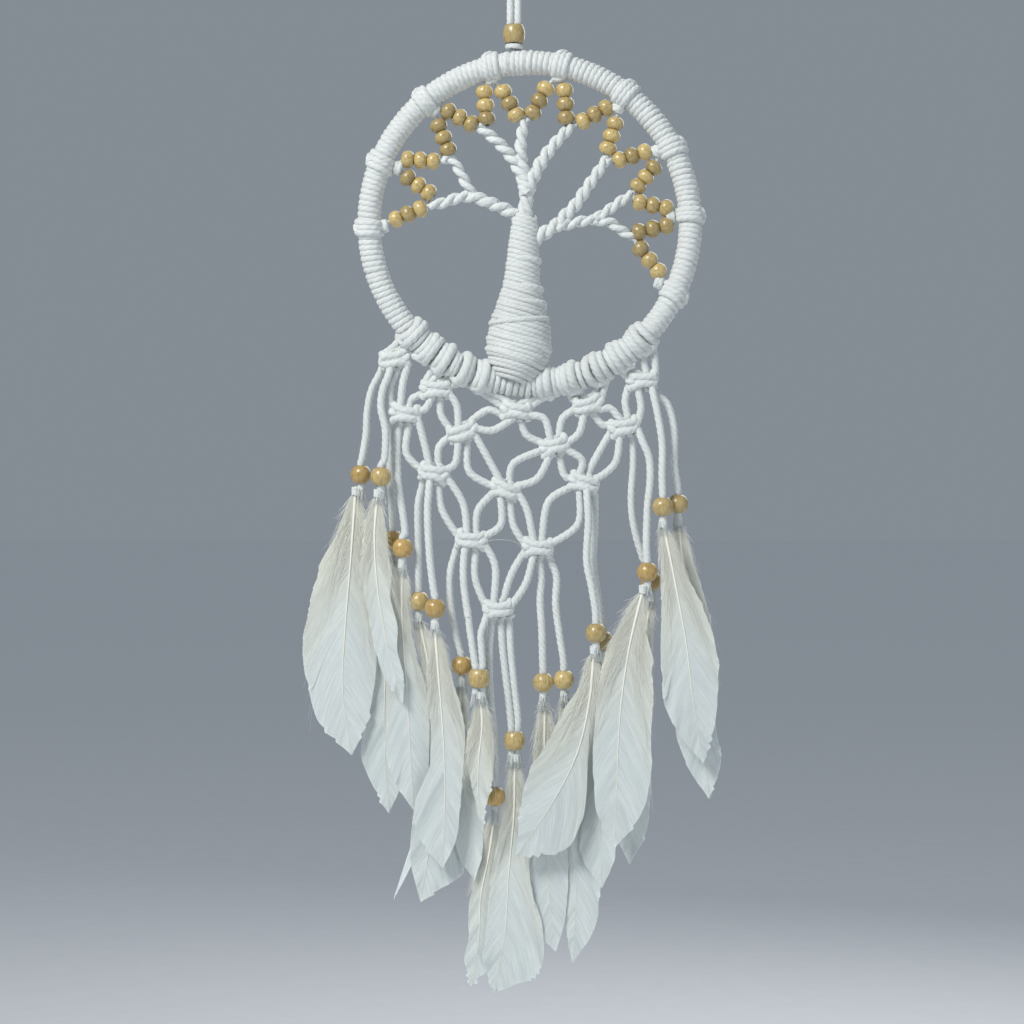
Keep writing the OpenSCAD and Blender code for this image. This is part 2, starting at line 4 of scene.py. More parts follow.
import bpy
import numpy as np
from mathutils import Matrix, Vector


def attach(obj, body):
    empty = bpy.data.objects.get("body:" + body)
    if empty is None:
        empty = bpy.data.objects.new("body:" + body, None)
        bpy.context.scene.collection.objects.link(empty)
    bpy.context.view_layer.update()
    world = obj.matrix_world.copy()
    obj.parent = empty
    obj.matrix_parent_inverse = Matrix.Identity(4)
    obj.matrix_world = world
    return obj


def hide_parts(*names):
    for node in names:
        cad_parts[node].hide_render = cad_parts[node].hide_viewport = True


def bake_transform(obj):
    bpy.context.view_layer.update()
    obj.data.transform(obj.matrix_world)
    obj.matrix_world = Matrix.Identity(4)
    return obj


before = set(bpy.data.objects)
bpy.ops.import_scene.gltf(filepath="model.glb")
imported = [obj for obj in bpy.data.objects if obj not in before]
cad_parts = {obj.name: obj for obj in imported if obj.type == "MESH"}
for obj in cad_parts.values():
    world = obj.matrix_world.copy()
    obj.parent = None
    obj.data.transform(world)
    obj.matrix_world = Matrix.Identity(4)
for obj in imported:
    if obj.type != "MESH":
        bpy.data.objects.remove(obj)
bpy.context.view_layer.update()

MM = 0.001
rng = np.random.default_rng(11)

# ---------------------------------------------------------------- camera, floor and light

FIELD = 455.7  # width of the photograph's field at the object, mm
LENS = 85.0
CAM_X, CAM_Z = -0.9, -311.9


def make_camera():
    cam = bpy.data.cameras.new("camera")
    cam.lens = LENS
    cam.sensor_width = 36.0
    cam.clip_end = 50
    ob = bpy.data.objects.new("camera", cam)
    bpy.context.collection.objects.link(ob)
    ob.location = (CAM_X * MM, -FIELD * LENS / 36.0 * MM, CAM_Z * MM)
    ob.rotation_euler = (math.pi / 2, 0, 0)
    bpy.context.scene.camera = ob


make_camera()

# ---------------------------------------------------------------- the part's own measures, as in its CAD

HOOP_X, HOOP_Z, HOOP_R = 7.0, -183.5, 71.5
ROD_R, WRAP_R, LARK_R = 3.1, 5.3, 6.8
WRAP_SPAN = (-41.5, 219.5)
TIE_ANGLES = [182, 158, 131, 104, 79, 54, 28, 3, -26]
LARK_SPANS, LARKS = [(219.8, 256.0), (271.0, 318.2)], 5
WIND_D, WIND_PITCH = 3.6, 2.42
CORD_D = 3.5
HAIR_D = 0.05
HANG_D = 3.3
# beads: diameter, height, bore, lip round the bore; a tree bead's height comes from its row
HANG_BEAD, HANG_BEAD_Z = (9.8, 8.2, 6.3, 0.7), -99.3
STRAND_BEAD_H = 8.0
STRAND_BEAD = (9.3, STRAND_BEAD_H, 3.6, 0.7)
PAIR_BEAD = (9.5, STRAND_BEAD_H, 5.2, 0.75)
TREE_BEAD_D, TREE_BEAD_BORE, TREE_BEAD_LIP = 7.9, 2.3, 0.7
LOOP_HALF = [(-1.7, -103.2), (-1.7, -90), (-1.7, -76), (-1.7, -62), (-1.8, -50), (-2.6, -39),
             (-4.4, -28), (-6, -17), (-6.7, -8), (-6.1, -2.4), (-3.6, 0.7)]
TRUNK_D, TRUNK_FOOT, TRUNK_LEAN, TRUNK_FLAT = 29.0, (1.2, 0, -257), 2.8, 0.85
BRANCHES = [
    (4.6, 3.8, [(1, -180), (-9, -175), (-17.5, -171.8), (-24.5, -172), (-31, -174.2), (-37.5, -175.3)]),
    (4, 3.6, [(-18, -171), (-23, -162.5), (-26, -157), (-28.5, -154.5), (-32, -156)]),
    (4.8, 3.8, [(5.5, -167), (4, -163.5), (0, -155.5), (-7, -147.5), (-16, -140)]),
    (5, 3.8, [(5, -166), (4, -160), (3, -153), (3.2, -145.5), (4.5, -138)]),
    (5, 3.8, [(7, -166), (12.5, -155.5), (18.5, -147.5), (25.5, -140)]),
    (5, 3.8, [(9, -191), (18.5, -184.5), (21.8, -181), (27.5, -175), (32.5, -167.5), (41.5, -154.5)]),
    (4, 3.8, [(19, -185), (25, -183.6), (31, -182.4), (37.5, -181.6)]),
    (3.8, 3.6, [(36, -181.8), (41.5, -178), (47.5, -173.5), (52.5, -170.5)]),
    (3.8, 3.6, [(36, -181.8), (42.5, -183), (47.5, -186.5), (53, -189.5)])]
# rows of three beads: first bead, last bead, thread's ends (ring side, branch side)
BEAD_ROWS = [
    ((-52.5, -181.6), (-41.8, -177.1), (-58.5, -184), (-37, -175.3)),
    ((-47.3, -155), (-36, -155.8), (-52, -157.5), (-32, -156)),
    ((-47.3, -163.2), (-38, -169.8), (-51.5, -159.5), (-36.5, -174.5)),
    ((-33.6, -140), (-29.4, -150.6), (-35.5, -134.5), (-30, -154.5)),
    ((-29.2, -133.6), (-19.2, -139.2), (-34, -131.8), (-15.5, -140.5)),
    ((-13.3, -125), (-12.3, -136.9), (-11.5, -119.5), (-15.5, -139.5)),
    ((-4.9, -124.8), (0.9, -135.2), (-9.5, -119.5), (3.8, -138.5)),
    ((14, -123.5), (8.4, -134.2), (18.5, -119), (5.2, -138.5)),
    ((22.4, -124.2), (23.2, -136.5), (19.8, -119.2), (25, -140)),
    ((40.9, -132.1), (30.7, -138), (45.5, -132), (26, -140)),
    ((45, -139), (41.7, -150), (46.3, -133), (41.4, -154.5)),
    ((58, -151.8), (46.9, -155.3), (63.5, -151.6), (42, -154.8)),
    ((62.2, -158.7), (55.1, -166.8), (64, -153), (52.5, -170.5)),
    ((67.6, -176.7), (55.9, -174.2), (73, -178), (52.5, -170.8)),
    ((67.8, -184.5), (55.6, -187.3), (73, -180.5), (53, -189.5)),
    ((64.2, -204.8), (56.3, -194.8), (66.5, -210.5), (53, -190))]
# knots of the tree's cords just inside the ring, one per lashing
INNER_KNOTS = [(-57.8, -184.7), (-51.6, -158.9), (-35.2, -133.5), (-10, -119.7), (19.6, -118.8),
               (45.8, -132.6), (63.2, -151.7), (69.4, -180.2), (64.3, -209.6)]
KNOT_W, KNOT_H = 13.4, 8.4
KNOTS = [(-53, -244), (-34.8, -257.5), (1, -267), (33, -264.3), (57, -253.6),
         (-48.6, -268.5), (-22.8, -276.5), (18, -282.7), (49, -274.2),
         (-35.7, -294.7), (-4, -302), (31, -299), (-19, -324.5), (10.5, -327.8), (-7, -355.2)]
LINKS = [
    (0, 5, (-55, -256), (-49.5, -255)), (1, 5, (-45.5, -261.5), (-39.5, -266)),
    (1, 6, (-32.5, -268.5), (-25.5, -264.5)), (2, 6, (-12, -266.5), (-9.5, -275.5)),
    (2, 7, (5.5, -277.5), (13.5, -270.5)), (3, 7, (21.5, -270.3), (29, -276.5)),
    (3, 8, (39.5, -273), (43, -266)), (4, 8, (49.5, -262.5), (56.5, -265.5)),
    (5, 9, (-48, -285.3), (-40, -281)), (6, 9, (-33.4, -283), (-26, -289.8)),
    (6, 10, (-20, -293.7), (-10.2, -290.6)), (7, 10, (0, -290), (10.5, -296.8)),
    (7, 11, (22.2, -295), (30.2, -288.8)), (8, 11, (35.6, -289.2), (45, -290)),
    (9, 12, (-32, -311), (-22.7, -308)), (10, 12, (-16, -311), (-5.8, -317.3)),
    (10, 13, (-0.4, -317.3), (5.8, -311)), (11, 13, (15.2, -307.5), (28.4, -317.3)),
    (12, 14, (-17.4, -341), (-8.4, -336)), (13, 14, (-0.9, -339), (5.3, -343.5))]
HEADS = [(0, 0), (0, 1), (1, 2), (1, 3), (2, 4), (2, 5), (3, 6), (3, 7), (4, 8), (4, 9)]
SIDE_CORD = [(-22, -329.5), (-22.5, -336), (-22.4, -343), (-21.6, -350), (-20.7, -356.3)]
# strands: pendant, depth at the knot, depth at the bead, bead, shares its bead, route to the bead, its knot
STRANDS = [
    ("01", 2.2, 4, (-68.4, -295.2), 0,
     [(-59.5, -249.5), (-63.5, -257.5), (-65.4, -267), (-66, -277), (-67.6, -287)], 0),
    ("02", -2.2, -4, (-59.1, -296.2), 0,
     [(-55.5, -250.2), (-58.4, -258), (-59, -266), (-57, -276), (-57.4, -288)], 0),
    ("03", 2.2, 1, (-49.7, -328), 0,
     [(-51.5, -275), (-52, -286), (-51.6, -299), (-49.5, -313), (-48.6, -321)], 5),
    ("03", 4.5, 9, (-54.3, -324.5), 0,
     [(-55.5, -275), (-55.6, -287), (-55.2, -300), (-54.6, -312)], 5),
    ("04", 3, 5.4, (-42.6, -351.8), 0,
     [(-41, -300.5), (-42.8, -309), (-42.8, -324), (-42.7, -340)], 9),
    ("05", -2.2, -4, (-35, -354.6), 0,
     [(-37.7, -301), (-38.4, -313), (-37.4, -332), (-35.7, -346)], 9),
    ("06", 2.2, 4, (-23.3, -380.5), 0,
     [(-26.3, -330.5), (-28.4, -339), (-28.4, -352), (-26, -366), (-23.9, -374)], 12),
    ("07", -2.2, -4, (-15.6, -385.6), 1,
     [(-20.3, -357.7), (-19.8, -363), (-18.6, -371), (-17.4, -379)], -1),
    ("07", -2.2, -4, (-15.6, -385.6), 0,
     [(-13.2, -361), (-14.7, -366), (-14.4, -373), (-13.9, -380)], 14),
    ("08", 2.2, 4, (-8.5, -438.9), 0,
     [(-10, -361), (-11, -375), (-10.7, -392), (-9.2, -408), (-8.5, -425)], 14),
    ("09", 2.2, 4, (0.2, -414), 1,
     [(-6, -361), (-5, -374), (-3.4, -388), (-1.6, -404)], 14),
    ("09", 2.2, 4, (0.2, -414), 0,
     [(-2.2, -361), (-1.4, -374), (0, -388), (1.8, -404)], 14),
    ("10", 2.2, 4, (13, -388), 0,
     [(11.5, -334), (12.2, -342), (11.6, -351), (12.4, -364), (12.8, -377)], 13),
    ("10", 2.2, 4, (22.3, -386.8), 0,
     [(16.5, -334), (19, -341), (18.6, -353), (20.4, -367), (22, -377)], 13),
    ("12", -3.6, -4, (36.3, -365.5), 0,
     [(32.4, -305.2), (33, -316), (32.2, -333), (34.4, -345), (36, -355)], 11),
    ("13", 2.2, 5, (39.8, -369.5), 0,
     [(36, -305.2), (36, -320), (35.4, -334), (37.2, -348), (39.2, -360)], 11),
    ("14", -2.2, -4, (59.1, -338.5), 0,
     [(57, -280.3), (60, -288), (60.4, -298), (59.2, -310), (58.7, -326)], 8),
    ("15", 2.2, 6, (61.4, -342.8), 0,
     [(53, -280.5), (53.2, -291), (52.4, -306), (53.6, -318), (57.5, -332)], 8),
    ("16", -2.2, -4, (66, -309.6), 0,
     [(62, -260), (64.2, -270.5), (65.8, -282), (65.7, -296)], 4),
    ("17", 2.2, 4, (73.2, -308.3), 0,
     [(62.5, -258.5), (68.5, -264), (71.4, -275), (71.6, -290), (73, -300)], 4)]
TAIL = 3.0  # how far a strand reaches out under its bead
# feathers: pendant, depth, quill from root to tip, left half-widths, right half-widths
FEATHERS = [
    ("01", 4, [(-70.8, -303), (-72.8, -332.4), (-75.2, -361.8), (-76.5, -391.2), (-72.5, -420.5)],
     [1, 8.5, 12.5, 15.6, 17.8, 18, 14.7, 11, 0], [1, 8, 12, 14.2, 15.6, 15.1, 13.8, 9.8, 0]),
    ("02", -4, [(-60.5, -304), (-61.9, -324.4), (-60.1, -348.9), (-55.6, -373.4), (-49.4, -396.5)],
     [1, 3.5, 5.5, 6.2, 5.6, 5.4, 5.4, 4.5, 0], [1, 4, 5.8, 6.2, 5, 6, 3.8, 3.5, 0]),
    ("03", 1, [(-50, -335.5), (-49.8, -362.2), (-47.8, -389.8), (-46.3, -417.4), (-44.6, -445)],
     [1, 3.5, 5.3, 6.2, 8.9, 9.8, 11, 7.5, 0], [1, 2, 3.4, 5, 8.4, 8.9, 8.4, 6.7, 0]),
    ("03", 9, [(-54.6, -332), (-56.1, -360), (-57.9, -391.2), (-57.9, -420.1), (-56.1, -447.2)],
     [1, 1.8, 2.2, 3.1, 4.5, 6.2, 10.5, 7.1, 0], [1, 2.5, 4, 5.5, 7, 8, 9, 7, 0]),
    ("04", 5.4, [(-42.5, -359.5), (-36.6, -390.3), (-34.7, -422.3), (-36.9, -454.3), (-41.8, -486.4)],
     [1, 2, 2.5, 3, 4, 6, 8.9, 6.7, 0], [1, 3, 5, 6.5, 8, 10, 13, 16, 0]),
    ("05", -4, [(-35.2, -362.5), (-33.2, -388), (-31.2, -415.6), (-30.7, -442.8), (-31.6, -470)],
     [1, 3.6, 5.3, 5.1, 5.8, 7.1, 13, 11, 0], [1, 3.6, 6.5, 9, 9.5, 8, 6.5, 5.5, 0]),
    ("06", 4, [(-23.8, -388.5), (-24.3, -409.8), (-22.3, -432.1), (-19.4, -454.3), (-17.6, -476.6)],
     [1, 2.5, 4, 5, 6, 7, 7.5, 6, 0], [1, 2, 3, 5, 7, 7.5, 5.5, 4, 0]),
    ("07", -4, [(-15.1, -393.5), (-14.2, -406.3), (-15.6, -421.4), (-16, -436.5), (-13.8, -452.1)],
     [1, 3, 6, 6.2, 5.3, 3.5, 1.5, 1, 0], [1, 3, 4, 5.8, 6.7, 6.5, 4.9, 2.3, 0]),
    ("08", 5.4, [(-8.5, -446.5), (-11.2, -465), (-14.9, -484.4), (-15.8, -503.7), (-19.1, -523.8)],
     [1.2, 3.2, 4, 4.4, 4.6, 5, 4.4, 4.8, 0], [1.2, 3.2, 5, 6, 7, 7, 7, 6.5, 0]),
    ("09", 4, [(0.4, -422), (0, -446.8), (-2.4, -473.5), (-4, -500.2), (-8.9, -526.9)],
     [1, 3, 4.5, 6.5, 7.5, 8.5, 8.5, 7.5, 0], [1, 4, 7, 8.5, 9.5, 12.5, 17, 17.5, 0]),
    ("10", 5.4, [(13.8, -396), (13.8, -424.5), (15.1, -453.5), (15.6, -482.4), (18.7, -508.6)],
     [1, 3.5, 5.3, 6.2, 8.2, 10.8, 11.8, 9.6, 0], [1, 3.1, 4.5, 6, 7.5, 8.4, 8.4, 6, 0]),
    ("10", 6.6, [(22.7, -394.8), (23.6, -424.5), (25.4, -453.5), (27.6, -482.4), (26.3, -514)],
     [1, 3, 4, 4.5, 3.6, 4.5, 5.3, 3.6, 0], [1, 3.5, 5, 6, 7.5, 9.5, 10.8, 8.5, 0]),
    ("12", -4, [(35.4, -373.5), (33.4, -395.6), (28, -418.7), (16.9, -441), (0.9, -464.6)],
     [1, 4.5, 8.9, 12.5, 14.7, 15.5, 13.4, 7, 0], [1, 2.5, 2.2, 3, 5.8, 10.7, 16, 15, 0]),
    ("13", 5, [(39.8, -377.5), (38.7, -402.3), (37.8, -429), (38.3, -455.7), (39.2, -480.2)],
     [1, 2.5, 3.5, 4.5, 5.5, 6.5, 8.5, 7.6, 0], [1, 2.5, 3.5, 4.5, 5.3, 6, 7.1, 6.2, 0]),
    ("14", -5.4, [(57, -346.5), (50.7, -373.4), (46.9, -402.3), (45.6, -431.2), (44.5, -460.6)],
     [1, 8, 10, 10.4, 10.7, 11, 10.2, 8, 0], [1, 6.2, 10.7, 13.5, 14.5, 14.5, 14.2, 11, 0]),
    ("15", 6, [(61.2, -350.5), (57, -379.6), (54.3, -409.4), (53, -439.2), (51.6, -469.5)],
     [1, 3.1, 4.5, 5.5, 6.5, 7.5, 8, 7, 0], [1, 2.2, 4.5, 6, 7, 8, 8, 7, 0]),
    ("16", -4, [(66.2, -317.5), (71.2, -342.2), (76.1, -368.9), (79.4, -395.6), (83.7, -423.2)],
     [1, 3.8, 6.3, 9, 11.6, 12.4, 12.5, 8, 0], [1, 3.1, 6.2, 9.8, 12.5, 12.9, 10.7, 7.1, 0]),
    ("17", 4, [(73.4, -316.2), (76.5, -345.8), (80.1, -377.4), (83.7, -408.9), (87.2, -440.1)],
     [1, 3.6, 4.5, 5.3, 6.2, 7.1, 11.1, 8, 0], [1, 3.6, 7.5, 9.8, 8.9, 7.1, 6.2, 6.9, 0])]
# strands whose bead is a browner wood
TAN_BEADS = ("01", "03", "05", "06", "08", "14", "15")
# a tuft that has sprung out of feather 04
SPIKE = [(-41, -450), (-43, -457), (-45.5, -464.5), (-49.4, -474.5), (-54, -485.3)]

# ---------------------------------------------------------------- geometry helpers


def spline(points, n=12):
    """Catmull-Rom curve through the points, n steps between each two."""
    p = np.asarray(points, float)
    p = np.vstack([2 * p[0] - p[1], p, 2 * p[-1] - p[-2]])
    out = []
    for i in range(1, len(p) - 2):
        a, b, c, d = p[i - 1], p[i], p[i + 1], p[i + 2]
        t = np.linspace(0, 1, n, endpoint=False)[:, None]
        out.append(0.5 * (2 * b + (c - a) * t + (2 * a - 5 * b + 4 * c - d) * t ** 2
                          + (3 * b - a - 3 * c + d) * t ** 3))
    out.append(p[-2][None])
    return np.vstack(out)


def lengths(p):
    """Distance along the line at each of its points."""
    return np.concatenate([[0], np.cumsum(np.linalg.norm(np.diff(p, axis=0), axis=1))])


def evenly(p, step):
    """The same line with its points an even step apart."""
    s = lengths(p)
    n = max(2, int(round(s[-1] / step)) + 1)
    t = np.linspace(0, s[-1], n)
    return np.stack([np.interp(t, s, p[:, k]) for k in range(3)], axis=1)


def in_space(route, y0, y1):
    """A route of (x, z) points, its depth running from y0 to y1."""
    r = np.asarray(route, float)
    y = np.linspace(y0, y1, len(r))
    return np.stack([r[:, 0], y, r[:, 1]], axis=1)


def frames(p):
    """Tangent, side and up at each point, without twist."""
    t = np.gradient(p, axis=0)
    t /= np.linalg.norm(t, axis=1)[:, None]
    start = np.array([0, -1.0, 0]) if abs(t[0][1]) < 0.9 else np.array([1.0, 0, 0])
    u = np.zeros_like(p)
    v = start - t[0] * (start @ t[0])
    u[0] = v / np.linalg.norm(v)
    for i in range(1, len(p)):
        v = u[i - 1] - t[i] * (u[i - 1] @ t[i])
        u[i] = v / np.linalg.norm(v)
    return t, np.cross(t, u), u


class Pile:
    """Many bits of mesh that become one object, with their own coordinates kept for the materials."""

    def __init__(self):
        self.v, self.q, self.t, self.loc, self.tone, self.n = [], [], [], [], [], 0
        self.quad_mat, self.tri_mat = [], []

    def add(self, verts, quads, tris, loc, tone, mat=0):
        self.v.append(verts)
        if len(quads):
            self.q.append(quads + self.n)
            self.quad_mat.append(np.full(len(quads), mat))
        if len(tris):
            self.t.append(tris + self.n)
            self.tri_mat.append(np.full(len(tris), mat))
        self.loc.append(loc)
        self.tone.append(np.broadcast_to(np.asarray(tone, float), (len(verts), 2)))
        self.n += len(verts)

    def build(self, name, materials):
        v = np.vstack(self.v) * MM
        q = np.vstack(self.q) if self.q else np.zeros((0, 4), int)
        t = np.vstack(self.t) if self.t else np.zeros((0, 3), int)
        me = bpy.data.meshes.new(name)
        me.vertices.add(len(v))
        me.vertices.foreach_set("co", v.astype(np.float32).ravel())
        loops = np.concatenate([q.ravel(), t.ravel()]).astype(np.int32)
        me.loops.add(len(loops))
        me.loops.foreach_set("vertex_index", loops)
        starts = np.concatenate([np.arange(len(q)) * 4, len(q) * 4 + np.arange(len(t)) * 3]).astype(np.int32)
        me.polygons.add(len(q) + len(t))
        me.polygons.foreach_set("loop_start", starts)
        me.update(calc_edges=True)
        me.polygons.foreach_set("use_smooth", np.ones(len(me.polygons), bool))
        which = np.concatenate(self.quad_mat + self.tri_mat)
        me.polygons.foreach_set("material_index", which.astype(np.int32))
        a = me.attributes.new("loc", "FLOAT_VECTOR", "POINT")
        a.data.foreach_set("vector", np.vstack(self.loc).astype(np.float32).ravel())
        tone = np.vstack(self.tone)
        # tone is each piece's own random tone; the second attribute marks where shade is painted
        for k, word in enumerate(("tone", "painted_shade")):
            a = me.attributes.new(word, "FLOAT", "POINT")
            a.data.foreach_set("value", tone[:, k].astype(np.float32))
        for m in materials if isinstance(materials, list) else [materials]:
            me.materials.append(m)
        ob = bpy.data.objects.new(name, me)
        bpy.context.collection.objects.link(ob)
        return ob


def grid_faces(rings, sides):
    """A tube's quads, ring after ring."""
    i, k = np.meshgrid(np.arange(rings - 1), np.arange(sides), indexing="ij")
    k2 = (k + 1) % sides
    here, over = i * sides, (i + 1) * sides
    return np.stack([here + k, here + k2, over + k2, over + k], axis=-1).reshape(-1, 4)


def caps(rings, sides):
    """Fans that close a tube's two ends; the centres are the last two vertices."""
    k = np.arange(sides)
    k2 = (k + 1) % sides
    a, b = rings * sides, rings * sides + 1
    last = (rings - 1) * sides
    return np.vstack([np.stack([np.full(sides, a), k2, k], axis=1),
                      np.stack([np.full(sides, b), last + k, last + k2], axis=1)])


def rope(pile, p, d, plies=3, pitch=9.0, sides=15, groove=0.19, radii=None, squash=1.0, tone=None, mat=0):
    """A twisted cord along the points: the mesh's own edges follow the plies. Radii scale it at each point."""
    t, side, up = frames(p)
    s = lengths(p)
    phase = rng.uniform(0, 2 * math.pi)
    tone = rng.uniform(0, 1) if tone is None else tone
    k = np.arange(sides)
    ang = 2 * math.pi * k / sides
    lobe = np.abs(np.cos(plies / 2 * ang)) ** 0.62 if plies else np.ones(sides)
    r = d / 2 * (1 - groove + groove * lobe)
    scale = np.ones(len(p)) if radii is None else np.asarray(radii)
    turn = (2 * math.pi * s / pitch if plies else 0 * s) + phase
    a = ang[None] + turn[:, None]
    rr = r[None] * scale[:, None]
    v = (p[:, None] + (rr * np.cos(a))[..., None] * side[:, None]
         + (rr * np.sin(a) * squash)[..., None] * up[:, None])
    verts = np.vstack([v.reshape(-1, 3), p[0] - t[0] * d * 0.12, p[-1] + t[-1] * d * 0.12])
    around = np.broadcast_to(ang * d / 2, a.shape)
    seed = tone * 40
    loc = np.stack([np.broadcast_to(s[:, None], a.shape), around, np.full(a.shape, seed)], axis=-1)
    loc = np.vstack([loc.reshape(-1, 3), [s[0], 0, seed], [s[-1], 0, seed]])
    # painted shade: the grooves between plies are marked to be drawn darker, and the end caps a little
    painted_shade = np.concatenate([np.broadcast_to(1 - lobe, a.shape).ravel(), [0.3, 0.3]])
    tones = np.stack([np.full(len(verts), tone), painted_shade], axis=1)
    pile.add(verts, grid_faces(len(p), sides), caps(len(p), sides), loc, tones, mat)


def lathe(pile, profile, origin, axis, segments=32, tone=0.5, seed=0.0):
    """A turned shape: profile is a closed loop of (radius, height)."""
    prof = np.asarray(profile, float)
    z = np.asarray(axis, float)
    z /= np.linalg.norm(z)
    x = np.cross(z, [0, 1, 0])
    x /= np.linalg.norm(x)
    y = np.cross(z, x)
    a = np.linspace(0, 2 * math.pi, segments, endpoint=False)
    ring = np.cos(a)[:, None] * x + np.sin(a)[:, None] * y
    n = len(prof)
    v = np.asarray(origin) + prof[None, :, 0, None] * ring[:, None] + prof[None, :, 1, None] * z
    i, k = np.meshgrid(np.arange(segments), np.arange(n), indexing="ij")
    i2, k2 = (i + 1) % segments, (k + 1) % n
    quads = np.stack([i * n + k, i2 * n + k, i2 * n + k2, i * n + k2], axis=-1).reshape(-1, 4)
    local = np.stack([prof[None, :, 0] * np.cos(a)[:, None], prof[None, :, 0] * np.sin(a)[:, None],
                      np.broadcast_to(prof[:, 1], (segments, n))], axis=-1).reshape(-1, 3)
    bore = prof[:, 0].min()
    # points near the bore are marked for painted shade: the hole's rim and inside are drawn darker
    painted_shade = np.clip(1 - (prof[:, 0] - bore) / 0.9, 0, 1)
    tones = np.stack([np.full(segments * n, tone), np.tile(painted_shade, segments)], axis=1)
    pile.add(v.reshape(-1, 3), quads, np.zeros((0, 3), int), local + [0, 0, seed], tones)


def bead_profile(d, h, bore, lip):
    """Closed outline of a barrel bead with a rounded rim and a drilled hole."""
    shoulder = (d - bore) / 2 - lip
    r = (shoulder ** 2 + h * h / 4) / (2 * shoulder)
    z = np.linspace(-h / 2, h / 2, 14)
    outer = [(d / 2 - r + math.sqrt(max(r * r - v * v, 0)), v) for v in z]
    rim = 0.28
    hole = bore / 2
    upper = [(hole + lip * 0.5, h / 2 + 0.05), (hole + 0.08, h / 2 - 0.1), (hole, h / 2 - rim * 1.6)]
    lower = [(r_in, -z_in) for r_in, z_in in reversed(upper)]
    return outer + upper + [(hole, 0)] + lower


def hairs(pile, points, normals, count, length):
    """Loose fibres standing off a cord: three-sided threads, drooping a little."""
    idx = rng.integers(0, len(points), count)
    for i in idx:
        n = normals[i] + rng.normal(0, 0.6, 3)
        n /= np.linalg.norm(n)
        size = length * rng.uniform(0.35, 1.25)
        w = rng.normal(0, 1, 3)
        w -= n * (w @ n)
        w /= np.linalg.norm(w)
        s = np.linspace(0, 1, 6)[:, None]
        bend = w * rng.uniform(-0.6, 0.6) - np.array([0, 0, 0.3])
        p = points[i] + size * (n * s + bend * s ** 2)
        rope(pile, p, HAIR_D, plies=0, sides=3, radii=np.linspace(1, 0.35, 6), tone=0.9)


def skin(p, d, n):
    """Some points on a cord's surface and the ways they face, for hairs."""
    _, side, up = frames(p)
    i = rng.integers(0, len(p), n)
    a = rng.uniform(0, 2 * math.pi, n)
    out = np.cos(a)[:, None] * side[i] + np.sin(a)[:, None] * up[i]
    return p[i] + out * d * 0.46, out


# ---------------------------------------------------------------- materials


def nodes_of(name):
    """A new material with its node tree, its Principled node and its output node."""
    m = bpy.data.materials.new(name)
    m.use_nodes = True
    nt = m.node_tree
    nt.nodes.clear()
    out = nt.nodes.new("ShaderNodeOutputMaterial")
    b = nt.nodes.new("ShaderNodeBsdfPrincipled")
    nt.links.new(b.outputs[0], out.inputs[0])
    return m, nt, b, out


def attribute(nt, name, vector=False):
    n = nt.nodes.new("ShaderNodeAttribute")
    n.attribute_name = name
    return n.outputs["Vector" if vector else "Fac"]


def scaled(nt, vector, scale, turn=(0, 0, 0)):
    n = nt.nodes.new("ShaderNodeMapping")
    nt.links.new(vector, n.inputs["Vector"])
    n.inputs["Scale"].default_value = scale
    n.inputs["Rotation"].default_value = turn
    return n.outputs[0]


def noise(nt, vector, scale, detail=3.0, rough=0.55):
    n = nt.nodes.new("ShaderNodeTexNoise")
    nt.links.new(vector, n.inputs["Vector"])
    n.inputs["Scale"].default_value = scale
    n.inputs["Detail"].default_value = detail
    n.inputs["Roughness"].default_value = rough
    return n.outputs["Fac"]


def ramp(nt, value, stops):
    """A colour for the value, from stops of (position, colour)."""
    n = nt.nodes.new("ShaderNodeValToRGB")
    nt.links.new(value, n.inputs[0])
    e = n.color_ramp.elements
    while len(e) < len(stops):
        e.new(0.5)
    for k, (pos, col) in enumerate(stops):
        e[k].position = pos
        e[k].color = (*col, 1)
    return n.outputs[0]


def mix(nt, fac, a, b, mode="MIX"):
    n = nt.nodes.new("ShaderNodeMix")
    n.data_type = "RGBA"
    n.blend_type = mode
    for key, val in ((0, fac), (6, a), (7, b)):
        if isinstance(val, (int, float)):
            n.inputs[key].default_value = val
        elif isinstance(val, tuple):
            n.inputs[key].default_value = (*val, 1)
        else:
            nt.links.new(val, n.inputs[key])
    return n.outputs[2]


def bump(nt, height, strength, distance):
    n = nt.nodes.new("ShaderNodeBump")
    nt.links.new(height, n.inputs["Height"])
    n.inputs["Strength"].default_value = strength
    n.inputs["Distance"].default_value = distance
    return n.outputs[0]


def separate(nt, vector):
    n = nt.nodes.new("ShaderNodeSeparateXYZ")
    nt.links.new(vector, n.inputs[0])
    return n.outputs


def span(nt, value, a, b, c, d):
    """The value, mapped from a..b to c..d."""
    n = nt.nodes.new("ShaderNodeMapRange")
    nt.links.new(value, n.inputs[0])
    for k, v in enumerate((a, b, c, d)):
        n.inputs[k + 1].default_value = v
    return n.outputs[0]


